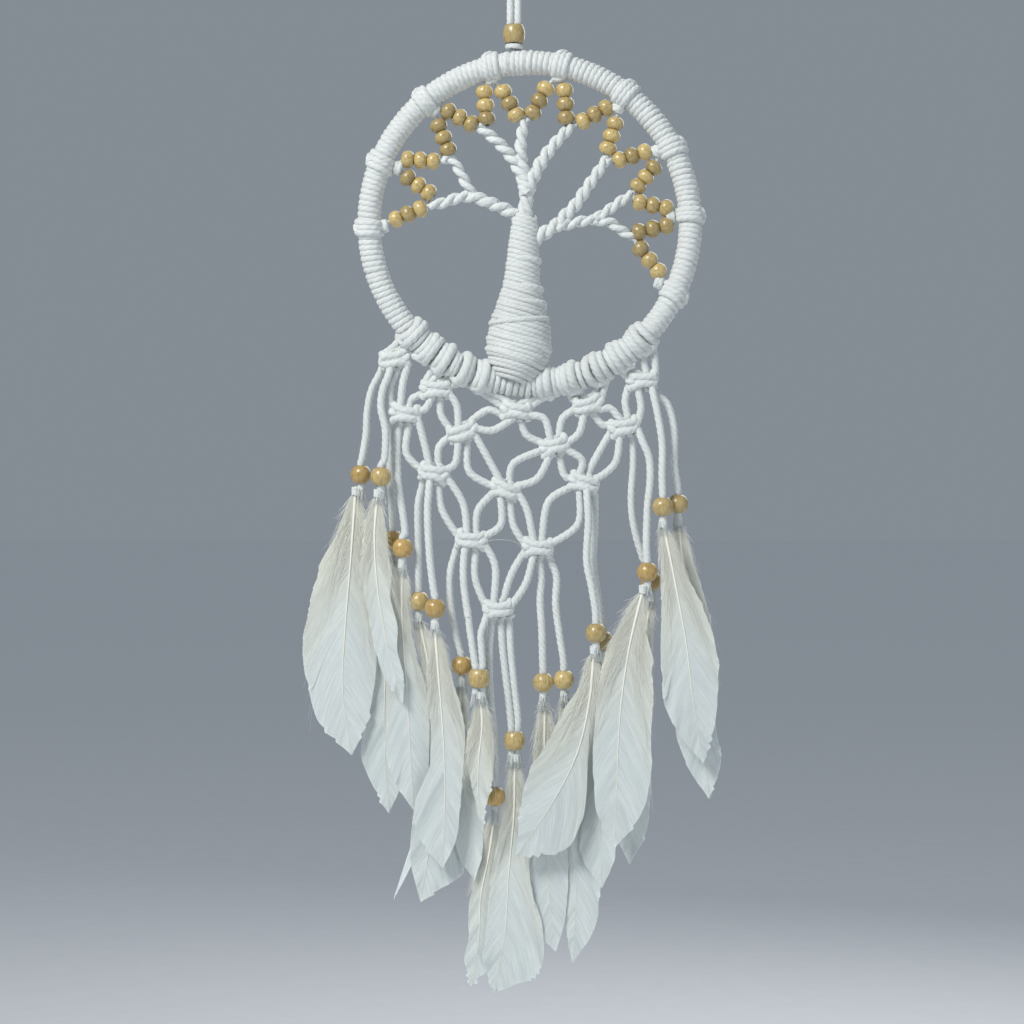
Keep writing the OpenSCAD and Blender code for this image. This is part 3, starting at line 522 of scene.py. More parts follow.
def cotton_material(name, light, dark, shade=0.3):
    """Spun cotton: fibres cross the cord at a slant, and the grooves between plies get painted shade."""
    m, nt, b, _ = nodes_of(name)
    loc = attribute(nt, "loc", True)
    painted_shade = attribute(nt, "painted_shade")
    fine = noise(nt, scaled(nt, loc, (0.7, 3.6, 1), turn=(0, 0, 0.35)), 1.7, 5, 0.7)
    broad = noise(nt, scaled(nt, loc, (0.1, 0.16, 1)), 1.0, 2)
    col = ramp(nt, fine, [(0.3, dark), (0.6, light)])
    worn = (light[0] * 0.9, light[1] * 0.885, light[2] * 0.87)
    col = mix(nt, 0.3, col, ramp(nt, broad, [(0.35, worn), (0.62, light)]))
    # painted shade: where the groove-depth attribute is high, the colour darkens towards a deeper grey
    col = mix(nt, span(nt, painted_shade, 0, 1, 0, shade), col, tuple(c * 0.6 for c in dark))
    nt.links.new(col, b.inputs["Base Color"])
    b.inputs["Roughness"].default_value = 0.9
    b.inputs["Sheen Weight"].default_value = 0.35
    b.inputs["Sheen Roughness"].default_value = 0.55
    b.inputs["Specular IOR Level"].default_value = 0.2
    nt.links.new(bump(nt, fine, 0.75, 0.0003), b.inputs["Normal"])
    return m


def wood_material(name, pale, tan, brown, varnish=0.7):
    """Turned wood under clear varnish: grain along the bead's own axis, and painted shade at the hole's rim
    and inside it.
    """
    m, nt, b, _ = nodes_of(name)
    loc = attribute(nt, "loc", True)
    tone = attribute(nt, "tone")
    painted_shade = attribute(nt, "painted_shade")
    grain = noise(nt, scaled(nt, loc, (0.8, 0.25, 0.4)), 1.2, 4, 0.6)
    n = nt.nodes.new("ShaderNodeTexWave")
    nt.links.new(scaled(nt, loc, (1, 0.15, 0.3)), n.inputs["Vector"])
    n.inputs["Scale"].default_value = 0.45
    n.inputs["Distortion"].default_value = 6
    n.inputs["Detail"].default_value = 3
    stripes = n.outputs["Fac"]
    pores = noise(nt, scaled(nt, loc, (5, 5, 1.1)), 2.2, 2)
    col = ramp(nt, grain, [(0.3, brown), (0.48, tan), (0.68, pale)])
    col = mix(nt, 0.3, col, ramp(nt, stripes, [(0.2, brown), (0.8, pale)]))
    col = mix(nt, 1.0, col, span(nt, tone, 0, 1, 0.66, 1.15), "MULTIPLY")
    col = mix(nt, span(nt, pores, 0.6, 0.72, 0, 0.35), col, brown)
    # painted shade in the hole: near the bore the colour darkens towards a deep brown
    col = mix(nt, span(nt, painted_shade, 0, 1, 0, 0.85), col, tuple(c * 0.22 for c in brown))
    nt.links.new(col, b.inputs["Base Color"])
    nt.links.new(span(nt, pores, 0.4, 0.75, 0.3, 0.5), b.inputs["Roughness"])
    b.inputs["Coat Weight"].default_value = varnish
    b.inputs["Coat Roughness"].default_value = 0.22
    nt.links.new(bump(nt, grain, 0.3, 0.0002), b.inputs["Normal"])
    return m


def feather_material(name, cream, light, shade, through=0.3):
    """A vane's barbs: silky, letting some light through, cream near the root and cool white below, with
    streaks of painted light and shade for the satin sheen.
    """
    m, nt, b, out = nodes_of(name)
    loc = attribute(nt, "loc", True)
    tone = attribute(nt, "tone")
    along = separate(nt, loc)[1]
    streak = noise(nt, scaled(nt, loc, (0.05, 1.1, 1)), 1.0, 4, 0.6)
    barb = noise(nt, scaled(nt, loc, (0.1, 4, 1)), 1.3, 2)
    root = span(nt, along, 8, 62, 1, 0)
    # painted light and shade: the streak noise runs from the shade colour to the light colour, drawn bands of
    # satin sheen
    cool = ramp(nt, streak, [(0.32, shade), (0.62, light)])
    warm = ramp(nt, streak, [(0.32, tuple(c * 0.9 for c in cream)), (0.62, cream)])
    col = mix(nt, root, cool, warm)
    col = mix(nt, span(nt, barb, 0.35, 0.7, 0.1, 0), col, tuple(c * 0.8 for c in shade))
    col = mix(nt, span(nt, tone, 0, 1, 0, 0.4), col, (0.9, 0.9, 0.83))
    nt.links.new(col, b.inputs["Base Color"])
    nt.links.new(span(nt, streak, 0.3, 0.7, 0.62, 0.42), b.inputs["Roughness"])
    b.inputs["Sheen Weight"].default_value = 0.25
    b.inputs["Sheen Roughness"].default_value = 0.3
    b.inputs["Specular IOR Level"].default_value = 0.45
    thin = nt.nodes.new("ShaderNodeBsdfTranslucent")
    nt.links.new(col, thin.inputs["Color"])
    both = nt.nodes.new("ShaderNodeMixShader")
    both.inputs[0].default_value = through
    nt.links.new(b.outputs[0], both.inputs[1])
    nt.links.new(thin.outputs[0], both.inputs[2])
    nt.links.new(both.outputs[0], out.inputs[0])
    return m


def quill_material():
    m, nt, b, _ = nodes_of("quill_horn")
    loc = attribute(nt, "loc", True)
    streak = noise(nt, scaled(nt, loc, (0.05, 2, 1)), 1.5, 3)
    col = ramp(nt, streak, [(0.3, (0.86, 0.84, 0.74)), (0.7, (0.92, 0.91, 0.84))])
    nt.links.new(col, b.inputs["Base Color"])
    nt.links.new(span(nt, streak, 0.3, 0.7, 0.35, 0.5), b.inputs["Roughness"])
    nt.links.new(bump(nt, streak, 0.2, 0.0001), b.inputs["Normal"])
    return m


COTTON = cotton_material("cotton_cord", (0.82, 0.86, 0.85), (0.66, 0.705, 0.70))
WRAP = cotton_material("cotton_winding", (0.82, 0.855, 0.845), (0.67, 0.71, 0.70), 0.25)
BEADS = wood_material("bead_wood_pale", (0.64, 0.51, 0.23), (0.52, 0.39, 0.155), (0.31, 0.20, 0.065), 0.5)
BEADS_TAN = wood_material("bead_wood_tan", (0.58, 0.41, 0.155), (0.47, 0.31, 0.10), (0.30, 0.17, 0.045), 0.5)
RING_WOOD = wood_material("ring_wood", (0.62, 0.46, 0.28), (0.52, 0.36, 0.2), (0.38, 0.24, 0.12), 0.0)
VANE = feather_material("feather_vane", (0.89, 0.90, 0.81), (0.91, 0.955, 0.945), (0.75, 0.81, 0.81))
DOWN = feather_material("feather_down", (0.92, 0.92, 0.85), (0.93, 0.95, 0.95), (0.84, 0.86, 0.87), 0.45)
QUILL = quill_material()

# ---------------------------------------------------------------- hanging cord


def finish_piece(ob, body, slot, *nodes):
    """Says which body the piece rides and the CAD nodes that it replaces; its slot argument is not used."""
    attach(ob, body)
    if nodes:
        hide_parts(*nodes)
    return ob


def fuzz_line(pile, p, d, count):
    """Hairs all over a cord."""
    a, n = skin(p, d, count)
    hairs(pile, a, n, count, 1.1)


def make_hang_cord():
    """The doubled cord that hangs on the nail, with its bead."""
    right = [(-x, z) for x, z in reversed(LOOP_HALF)]
    route = in_space(LOOP_HALF + [(0, 1.65)] + right, 0, 0)
    p = evenly(spline(route, 10), 0.55)
    pile = Pile()
    rope(pile, p, HANG_D, pitch=8.4)
    ob = finish_piece(pile.build("hanging_cord", COTTON), "hang_cord", "cotton", "hang_cord")
    beads = Pile()
    lathe(beads, bead_profile(*HANG_BEAD), (0, 0, HANG_BEAD_Z), (0, 0, 1), 44, tone=0.35, seed=3)
    bead = finish_piece(beads.build("hanging_bead", BEADS), "hang_bead", "bead_wood", "hang_bead")
    fuzz = Pile()
    fuzz_line(fuzz, p, HANG_D, 260)
    finish_piece(fuzz.build("hanging_cord_fuzz", COTTON), "hang_cord", "cotton")


make_hang_cord()

# ---------------------------------------------------------------- strands, their beads and tails


def strand_line(s):
    """A strand's line from inside its knot, through its bead, to its end, and whether two share the bead."""
    pendant, y0, y1, bead, shares, route, knot = s
    pair = any(o[0] == pendant and o[4] for o in STRANDS)
    dx = -1.35 if shares else (1.35 if pair else 0)
    line = in_space(list(route) + [(bead[0] + dx, bead[1] + STRAND_BEAD_H / 2)], y0, y1)
    end = [bead[0] + dx, y1, bead[1] - STRAND_BEAD_H / 2 - TAIL]
    if knot >= 0:
        kx, kz = KNOTS[knot]
        top = [kx + (route[0][0] - kx) * 0.75, y0 * 0.55, kz - 0.8]
    else:
        top = [SIDE_CORD[-1][0] - 0.1, y0, SIDE_CORD[-1][1] + 2.0]
    return np.vstack([[top], line, [end]]), pair


def make_strand_bead(word, s, pair):
    pendant, _, y1, bead = s[:4]
    beads = Pile()
    prof = bead_profile(*(PAIR_BEAD if pair else STRAND_BEAD))
    tilt = rng.uniform(-0.07, 0.07)
    lathe(beads, prof, (bead[0], y1, bead[1]), (tilt, 0, 1), 40,
          tone=rng.uniform(0.35, 1), seed=rng.uniform(0, 90))
    ob = beads.build("strand_bead_" + word, BEADS_TAN if pendant in TAN_BEADS else BEADS)
    return finish_piece(ob, "pendant_" + pendant, "bead_wood", "bead_" + pendant)


def frayed_end(pile, end):
    """Cut fibres of a cord's end, spread out under its bead."""
    for _ in range(120):
        a0 = rng.uniform(0, 2 * math.pi)
        r0 = 1.7 * math.sqrt(rng.uniform(0, 1))
        a1 = a0 + rng.uniform(-0.6, 0.6)
        drop = rng.uniform(3.2, 6.5)
        x, y = r0 * math.cos(a1), r0 * math.sin(a1)
        q = np.array([end + [r0 * math.cos(a0), r0 * math.sin(a0), 1.0],
                      end + [1.3 * x, 1.3 * y, -drop * 0.5],
                      end + [1.7 * x + rng.uniform(-0.8, 0.8), y, -drop]])
        rope(pile, spline(q, 3), 0.3, plies=0, sides=4, radii=np.linspace(1, 0.4, 7), tone=0.8)


def make_strand_end(word, s, p, d):
    """Loose fibres on the strand, its frayed end, and the thread that binds its feather's quill."""
    pendant, shares, route = s[0], s[4], s[5]
    fuzz = Pile()
    fuzz_line(fuzz, p[p[:, 2] < route[0][1] - 6], d, 150)
    frayed_end(fuzz, p[-1])
    for f in FEATHERS:
        top = np.array([f[2][0][0], f[1], f[2][0][1]])
        if f[0] == pendant and not shares and abs(top[0] - p[-1][0]) < 3.4:
            w = np.linspace(0, 2 * math.pi * 4, 120)
            turns = np.stack([1.35 * np.cos(w), 1.35 * np.sin(w), 2.2 - 3.4 * w / w[-1]], axis=1)
            rope(fuzz, top + turns, 1.0, plies=0, sides=8)
    finish_piece(fuzz.build("strand_end_" + word, COTTON), "pendant_" + pendant, "cotton")


def make_strand(word, s):
    pendant = s[0]
    line, pair = strand_line(s)
    d = CORD_D - 0.2 if pair else CORD_D
    p = evenly(spline(line, 10), 0.55)
    pile = Pile()
    rope(pile, p, d, pitch=rng.uniform(8.2, 9.4))
    ob = pile.build("strand_" + word, COTTON)
    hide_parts("strand_" + pendant)
    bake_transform(ob)
    on_it = [] if s[4] else [make_strand_bead(word, s, pair)]
    make_strand_end(word, s, p, d)


made = {}
for s in STRANDS:
    made[s[0]] = made.get(s[0], 0) + 1
    make_strand("%s_%d" % (s[0], made[s[0]]), s)

# ---------------------------------------------------------------- top knot


def make_top():
    """Flat turns of cord bind the loop's two ends just above the ring."""
    knot = Pile()
    top, drop, radius, turns = -104.5, 0.9, 3.0, 2.2
    a = np.linspace(0, 2 * math.pi * turns, 120)
    z = top - drop * a / a[-1]
    p = np.stack([radius * np.cos(a), radius * np.sin(a), z], axis=1)
    rope(knot, p, 1.9, pitch=6, sides=12, groove=0.15)
    finish_piece(knot.build("top_binding", COTTON), "top_knot", "cotton", "top_knot")


make_top()

# ---------------------------------------------------------------- ring


def on_ring(angle, r):
    """Point in the ring's plane at a ring angle (radians), r from the ring's middle."""
    return np.array([HOOP_X + r * math.cos(angle), 0, HOOP_Z + r * math.sin(angle)])


def around_ring(ang, w, r):
    """Points round the rod: ring angle and angle round the rod (radians), r from the rod's middle."""
    rr = HOOP_R + r * np.cos(w)
    return np.stack([HOOP_X + rr * np.cos(ang), -r * np.sin(w), HOOP_Z + rr * np.sin(ang)], axis=1)


def ring_helix(a0, a1, r, turns, per_turn, slant=0.0, jitter=0.0):
    """Points of a cord wound round the ring from angle a0 to a1 (radians), r from the rod's middle."""
    n = int(abs(turns) * per_turn) + 1
    u = np.linspace(0, 1, n)
    w = 2 * math.pi * turns * u
    knots = max(2, int(abs(turns)))
    wob = np.interp(u, np.linspace(0, 1, knots), rng.normal(0, 1, knots) * jitter)
    swell = 1 + np.interp(u, np.linspace(0, 1, knots), rng.normal(0, 1, knots) * jitter * 5)
    return around_ring(a0 + (a1 - a0) * u + slant * np.sin(w) + wob, w, r * swell)


def make_rod():
    """The wooden ring, hidden by its winding."""
    rod = Pile()
    rings, sides = 180, 20
    a = np.linspace(0, 2 * math.pi, rings + 1)[:-1]
    b = np.linspace(0, 2 * math.pi, sides + 1)[:-1]
    v = np.vstack([around_ring(np.full(sides, x), b, ROD_R - 0.05) for x in a])
    # the last ring of faces closes on the first ring of points
    quads = grid_faces(rings + 1, sides) % (rings * sides)
    loc = np.stack([np.repeat(a * HOOP_R, sides), np.tile(b * ROD_R, rings), np.zeros(rings * sides)], axis=1)
    rod.add(v, quads, np.zeros((0, 3), int), loc, (0.5, 0.0))
    finish_piece(rod.build("ring_rod", RING_WOOD), "hoop", "ring_wood", "hoop_rod")


def make_winding():
    """Cord wound round the rod: one length between the outer lark's heads, one under them."""
    wind, fuzz = Pile(), Pile()
    for lo, hi, centre, slant in ((WRAP_SPAN[0] - 3, WRAP_SPAN[1] + 2, 3.6, 0.006), (214, 324, 3.0, 0.004)):
        a0, a1 = np.radians((lo, hi))
        turns = (a1 - a0) * HOOP_R / WIND_PITCH
        p = ring_helix(a0, a1, centre, turns, 40, slant=slant, jitter=0.0026)
        rope(wind, p, WIND_D, pitch=8, sides=12, groove=0.08)
    fuzz_line(fuzz, p, 3.3, 200)
    count, r = 1500, WRAP_R - 0.05
    a = np.radians(np.linspace(*WRAP_SPAN, count))
    p = around_ring(a, rng.uniform(0, 2 * math.pi, count), r)
    out = p - np.stack([HOOP_X + HOOP_R * np.cos(a), 0 * a, HOOP_Z + HOOP_R * np.sin(a)], axis=1)
    hairs(fuzz, p, out / r, count, 1.0)
    finish_piece(wind.build("ring_winding", WRAP), "hoop", "cotton", "hoop_wrap")
    finish_piece(fuzz.build("ring_fuzz", COTTON), "hoop", "cotton")


make_rod()
make_winding()

# ---------------------------------------------------------------- net: lark's heads, square knots and cords


def lark_angle(i):
    """Ring angle of lark's head i's middle."""
    lo, hi = LARK_SPANS[i // LARKS]
    return math.radians(lo + (hi - lo) * (i % LARKS + 0.5) / LARKS)


def lark_half(i):
    """Half the ring angle that lark's head i takes up."""
    lo, hi = LARK_SPANS[i // LARKS]
    return math.radians((hi - lo) / (2 * LARKS))


def knot_port(k, side, up, outer):
    """Where a cord joins a knot: right or left of its middle (side), top or bottom (up), outer or inner."""
    return np.array(KNOTS[k]) + [side * (KNOT_W * 0.42 if outer else KNOT_W * 0.14),
                                 up * (KNOT_H * 0.2 if outer else KNOT_H * 0.42)]


def make_larks_heads():
    """Each lark's head: fat turns side by side over the ring, then a short bar where its cords leave."""
    pile = Pile()
    for i in range(2 * LARKS):
        mid, half = lark_angle(i), lark_half(i)
        sizes = np.array([1.0, 1.12, 0.82] if i < LARKS else [0.95, 1.1, 1.05, 0.8])
        if i % 2:
            sizes = sizes[::-1]
        sizes = sizes * (1 + rng.normal(0, 0.05, len(sizes)))
        width = sizes / sizes.sum() * 2 * half * 0.93
        starts = mid - half * 0.93 + np.cumsum(width) - width / 2
        for off, wide in zip(starts, width):
            d = wide * HOOP_R * 1.38
            bulge = 1 - abs(off - mid) / half
            r = ROD_R + 0.2 + 1.1 * bulge + d * 0.5 * rng.uniform(0.75, 0.95)
            w = np.linspace(-math.pi * 0.7, math.pi * 1.7, 56)
            lean = (0.02 if i < LARKS else -0.02) + rng.normal(0, 0.008)
            p = around_ring(off + lean * np.sin(w), w, r)
            rope(pile, p, d, pitch=9 + rng.normal(), sides=15, groove=0.14)
        length = half * rng.uniform(0.5, 0.75)
        b = np.linspace(-1, 1, 24)
        rr = HOOP_R + 6.1 + rng.uniform(-0.2, 0.3)
        skew = rng.normal(0, 0.4)
        p = np.stack([HOOP_X + (rr + skew * b) * np.cos(mid + b * length), -1.6 - 0.9 * (1 - b ** 2),
                      HOOP_Z + (rr + skew * b) * np.sin(mid + b * length)], axis=1)
        rope(pile, p, 3.4, pitch=8, sides=15, groove=0.15, radii=(1 - 0.75 * np.abs(b) ** 5))
    finish_piece(pile.build("larks_heads", COTTON), "hoop", "cotton", "larks_heads")


make_larks_heads()


def make_square_knot(pile, k, mirror, roll):
    """Two working cords tied round two core cords, with a bar across the front at top and bottom."""
    d = 3.6
    # each path is (across, up, towards the viewer), in mm from the knot's middle
    a = [(-5.4, 3.5, 0), (-4.8, 2.7, 1.2), (-2.4, 1.9, 2.3), (0.4, 1.55, 2.7), (3.4, 1.7, 2.3), (5.3, 1.2, 1),
         (5.7, -0.1, 0.5), (5.2, -1.2, 1.2), (3.2, -1.65, 2.2), (0, -1.6, 2.7), (-3.2, -2, 2),
         (-4.9, -2.9, 0.8), (-5.4, -3.8, 0)]
    b = [(5.4, 3.5, 0), (5, 2.9, 1.3), (4.9, 1.8, 1.6), (4, 0.9, -0.6), (2.4, 0.9, -2.2), (-2.4, 1.1, -2.2),
         (-4.8, 1.3, -1), (-5.8, 0.9, 0.6), (-5.2, 0.1, 1.8), (-4, -0.7, 1.3), (-3, -1.2, -1.4),
         (0, -1.4, -2.4), (3.2, -1.7, -1.8), (5, -2.8, -0.5), (5.4, -3.8, 0)]
    c1 = [(-1.9, 4.4, 0.0), (-1.7, 2.3, 0), (-1.6, 0, 0.9), (-1.7, -2.3, 0), (-1.9, -4.4, 0)]
    c2 = [(1.9, 4.4, 0.0), (1.7, 2.3, 0), (1.6, 0, 0.9), (1.7, -2.3, 0), (1.9, -4.4, 0)]
    c3 = [(-4.2, -0.6, 0.8), (-1.8, -0.2, 2.0), (1.6, 0.3, 2.1), (4.2, 0.7, 0.9)]
    x0, z0 = k
    for path, dia in ((a, d), (b, d), (c1, d), (c2, d), (c3, d * 0.92)):
        q = np.array(path, float)
        q[:, 0] *= mirror
        q[:, :2] += rng.normal(0, 0.16, (len(q), 2))
        x = q[:, 0] * math.cos(roll) - q[:, 1] * math.sin(roll)
        z = q[:, 0] * math.sin(roll) + q[:, 1] * math.cos(roll)
        p = np.stack([x0 + x, -q[:, 2], z0 + z], axis=1)
        rope(pile, evenly(spline(p, 8), 0.45), dia, pitch=8.5, sides=15, groove=0.16)


def make_net():
    """The square knots, the cords between them and up to the lark's heads, and their fuzz."""
    knots = Pile()
    for i, k in enumerate(KNOTS):
        make_square_knot(knots, k, 1 if i % 3 else -1, rng.uniform(-0.32, 0.32))
    finish_piece(knots.build("square_knots", COTTON), "hoop", "cotton", "net_knots")
    cords, fuzz = Pile(), Pile()
    lines = []
    for up, low, left, right in LINKS:
        leftwards = KNOTS[low][0] < KNOTS[up][0]
        way = -1 if leftwards else 1
        for outer_top, mid, y in ((leftwards, left, 0.9), (not leftwards, right, -0.9)):
            a = knot_port(up, way, -1, outer_top)
            b = knot_port(low, -way, 1, not outer_top)
            ka, kb = np.array(KNOTS[up]), np.array(KNOTS[low])
            q = in_space([a + (ka - a) * 0.35, a, mid, b, b + (kb - b) * 0.35], y, y)
            q[[0, -1], 1] *= 0.6
            lines.append(q)
    for k, i in HEADS:
        side = -1 if i % 2 == 0 else 1
        for leg in (-1, 1):
            a = on_ring(lark_angle(i) + leg * lark_half(i) * 0.45, HOOP_R + LARK_R - CORD_D / 2)
            port = knot_port(k, side, 1, leg == side)
            b = np.array([port[0], 0, port[1]])
            c = np.array([KNOTS[k][0], 0, KNOTS[k][1]])
            sag = (a + b) / 2 + rng.normal(0, 0.5, 3)
            lines.append(np.array([a + (a - b) * 0.15, a, sag, b, b + (c - b) * 0.4]))
    lines.append(in_space([(-20.8, -325.5)] + SIDE_CORD + [(-20.4, -358.8)], -1, -2.2))
    for q in lines:
        p = evenly(spline(q, 10), 0.55)
        rope(cords, p, CORD_D, pitch=rng.uniform(8.0, 9.4))
        fuzz_line(fuzz, p, CORD_D, 60)
    for k in KNOTS:
        a = np.array([k[0], -2.6, k[1]]) + rng.normal(0, 1, (60, 3)) * [3.6, 0.9, 2.2]
        hairs(fuzz, a, np.tile([0, -1.0, 0.1], (60, 1)), 60, 1.5)
    # one long loose fibre loops out between the two knots of the fourth row
    loop = np.array([[-16, -3.6, -325.8], [-8, -5, -324.2], [0, -5.6, -325], [3.4, -5.2, -328.3],
                     [3.2, -4.2, -332.5]])
    rope(fuzz, spline(loop, 8), 0.16, plies=0, sides=4, tone=0.9)
    finish_piece(cords.build("net_cords_twisted", COTTON), "hoop", "cotton", "net_cords")
    finish_piece(fuzz.build("net_fuzz", COTTON), "hoop", "cotton")


make_net()

# ---------------------------------------------------------------- tree

# the trunk's outline as it is wound: share of its widest half, height over its foot
WOUND = [(0.22, 1), (0.6, 4.2), (0.82, 8.5), (0.94, 13), (1.0, 18.5), (0.94, 27), (0.77, 36), (0.61, 44.5),
         (0.52, 53), (0.475, 61.6), (0.43, 70), (0.34, 78)]
# later turns: height on the trunk, lean, thickness, and the half turns between which each one shows
CROSSINGS = ((13, -0.3, 2.9, -0.3, 1.3), (30, 0.12, 2.9, -0.3, 1.3), (58, -0.15, 3.6, -0.45, 0.55),
             (46, -0.2, 3.4, -0.45, 0.5), (39, -0.1, 3.2, -0.45, 0.5))


def trunk_point(h, r, a, forward=0.0):
    """Point at height h, radius r and angle a round the leaning, flattened trunk."""
    lean = math.radians(TRUNK_LEAN)
    x, y = r * np.cos(a), r * TRUNK_FLAT * np.sin(a) - forward
    return np.stack([TRUNK_FOOT[0] + x * math.cos(lean) + h * math.sin(lean), y + 0 * h,
                     TRUNK_FOOT[2] - x * math.sin(lean) + h * math.cos(lean)], axis=-1)


def make_trunk():
    """A core, the long winding over it, its crossing turns, and the cords that run on above."""
    prof = spline([(s * TRUNK_D / 2, 0, h) for s, h in WOUND], 10)
    heights, radii = prof[:, 2], prof[:, 0]

    def radius(h):
        return np.interp(h, heights, radii)

    pile = Pile()
    rings, sides = 60, 32
    a = np.linspace(0, 2 * math.pi, sides + 1)[:-1]
    hs = np.linspace(heights[0] + 0.5, heights[-1], rings)
    v = np.stack([trunk_point(np.full(sides, h), max(radius(h) - 1.9, 0.6), a) for h in hs])
    loc = np.stack([np.repeat(hs, sides), np.tile(a * 9, rings), np.zeros(rings * sides)], axis=1)
    # the core is marked for painted shade (0.6), so it is drawn darker between the winding's turns
    pile.add(v.reshape(-1, 3), grid_faces(rings, sides), np.zeros((0, 3), int), loc, (0.3, 0.6))
    pitch, d = 2.05, 2.9
    h0, h1 = heights[0] + 2.6, heights[-1] - 0.6
    turns = (h1 - h0) / pitch
    n = int(turns * 60)
    u = np.linspace(0, 1, n)
    w = 2 * math.pi * turns * u
    wob = np.interp(u, np.linspace(0, 1, int(turns * 2)), rng.normal(0, 0.16, int(turns * 2)))
    h = h0 + (h1 - h0) * u
    forward = np.interp(h, [0, 10, 16], [2.4, 1.2, 0])
    h = h - 0.2 * radius(h) * np.cos(-w) + wob
    h = np.minimum(h, heights[-1])
    lump = 1 + 0.03 * np.interp(u, np.linspace(0, 1, 260), rng.normal(0, 1, 260))
    p = trunk_point(h, (radius(h) - d * 0.42) * lump, -w, forward)
    rope(pile, p, d, pitch=7.5, sides=12, groove=0.1)
    for base, lean, big, lo, hi in CROSSINGS:
        w = np.linspace(lo * math.pi, hi * math.pi, 70)
        h = base + lean * radius(base) * np.cos(w)
        ease = np.sin(np.linspace(0.2, math.pi - 0.2, 70)) ** 0.35
        rope(pile, trunk_point(h, radius(h) - 0.9 + 0.5 * ease, -w), big, pitch=7.5, sides=12,
             groove=0.12, radii=ease)
    # the ring's own turns beside the trunk's foot
    for j in range(8):
        big = ROD_R + 1.7 + 0.3 * rng.normal()
        w = np.linspace(-math.pi * 0.7, math.pi * 1.7, 50)
        turn = around_ring(math.radians(255.8 + j * 2.2) + 0.012 * np.sin(w), w, big)
        rope(pile, turn, 3.1 + 0.2 * rng.normal(), pitch=8, sides=12, groove=0.13)
    # above the winding the tree's cords run on as a twisted bundle
    for j in range(3):
        h = np.linspace(64, 93, 90)
        w = 2 * math.pi * (h / 21 + j / 3)
        r = np.interp(h, [64, 80, 93], [1.9, 1.75, 1.2])
        rope(pile, trunk_point(h, r, -w), 3.7, pitch=7.5, sides=15, groove=0.16,
             radii=np.interp(h, [64, 85, 93], [1.0, 1.0, 0.8]))
    fuzz = Pile()
    hh = rng.uniform(3, 76, 500)
    ww = rng.uniform(0, 2 * math.pi, 500)
    q = trunk_point(hh, radius(hh), ww)
    out = np.stack([np.cos(ww), np.sin(ww), 0 * ww], axis=1)
    hairs(fuzz, q, out, 500, 1.0)
    finish_piece(pile.build("trunk_winding", WRAP), "hoop", "cotton", "trunk")
    finish_piece(fuzz.build("trunk_fuzz", COTTON), "hoop", "cotton")


make_trunk()


def twisted_pair(pile, p, width):
    """Two cords twisted round each other along the points; width is the pair's, one value a point."""
    _, side, up = frames(p)
    s = lengths(p)
    start = rng.uniform(0, 2 * math.pi)
    for half in (0, math.pi):
        w = 2 * math.pi * s / 12.0 + half + start
        r = width * 0.22
        q = p + (r * np.cos(w))[:, None] * side + (r * np.sin(w))[:, None] * up
        rope(pile, q, 1.0, pitch=7, sides=15, groove=0.13, radii=width * 0.62)


def make_branches():
    """Twisted branches, the threads of the bead rows, and their knots inside the ring."""
    pile, fuzz = Pile(), Pile()
    for d0, d1, route in BRANCHES:
        # branches that leave the trunk start inside its bundle
        if route[0][0] < 10 and route[0][1] < -160:
            route = [(route[0][0] * 0.6 + 2.0, route[0][1] - 4.5)] + route
        p = evenly(spline(in_space(route, 0, 0), 10), 0.5)
        twisted_pair(pile, p, np.linspace(d0 * 1.4, d1 * 1.28, len(p)))
        fuzz_line(fuzz, p, d0 * 1.1, 60)
    for b0, b1, e0, e1 in BEAD_ROWS:
        p = evenly(spline(in_space([e0, b0, b1, e1], 0, 0), 10), 0.5)
        rope(pile, p, 2.1, plies=2, pitch=5, sides=10, groove=0.2)
    # overhand knots where the threads meet inside the ring
    for (x, z), deg in zip(INNER_KNOTS, TIE_ANGLES):
        a = math.radians(deg)
        out = np.array([math.cos(a), 0, math.sin(a)])
        along = np.array([-math.sin(a), 0, math.cos(a)])
        c = np.array([x, 0, z])
        w = np.linspace(0, 2 * math.pi * 1.7, 60)
        coil = (1.7 * np.cos(w))[:, None] * along + (1.5 * np.sin(w))[:, None] * np.array([0, -1.0, 0])
        p = c + out * np.linspace(-0.9, 1.5, 60)[:, None] + coil
        rope(pile, p, 3.0, pitch=7, sides=14, groove=0.16)
        for e in (-1, 1):
            q = np.array([c + along * e * 0.9, c + out * 2.6 + along * e * 1.3,
                          on_ring(a + e * 0.022, HOOP_R - WRAP_R + 0.6)])
            rope(pile, evenly(spline(q, 6), 0.4), 2.7, plies=2, pitch=6, sides=10)
        near = np.tile(c - [0, 2.6, 0], (14, 1)) + rng.normal(0, 1.2, (14, 3))
        hairs(fuzz, near, np.tile([0, -1.0, 0], (14, 1)), 14, 1.4)
    finish_piece(pile.build("branches_and_threads", COTTON), "hoop", "cotton", "branches")
    finish_piece(fuzz.build("tree_fuzz", COTTON), "hoop", "cotton")


def make_lashings():
    """Turns of cord that tie each thread's end, and the hanging loop's, to the ring."""
    ties = Pile()
    for deg in TIE_ANGLES:
        a = math.radians(deg)
        p = ring_helix(a - 0.045, a + 0.045, 4.95, 2.9, 52, slant=0.008, jitter=0.004)
        rope(ties, p, 3.5, pitch=8, sides=14, groove=0.13)
        # the cord's end is tucked under on the outside
        b = np.linspace(-1, 1, 20)
        q = around_ring(a + 0.03 * b, np.full(20, 0.35) + 0.3 * b, 6.1)
        rope(ties, q, 2.6, pitch=7, sides=12, groove=0.13, radii=1 - 0.6 * np.abs(b) ** 4)
    # the loop's ends are bound to the ring's top
    p = ring_helix(math.radians(89.4), math.radians(98.9), 4.15, 4.4, 52, slant=0.006, jitter=0.004)
    rope(ties, p, 3.1, pitch=8, sides=12, groove=0.13)
    finish_piece(ties.build("ring_lashings", WRAP), "hoop", "cotton", "ring_ties")


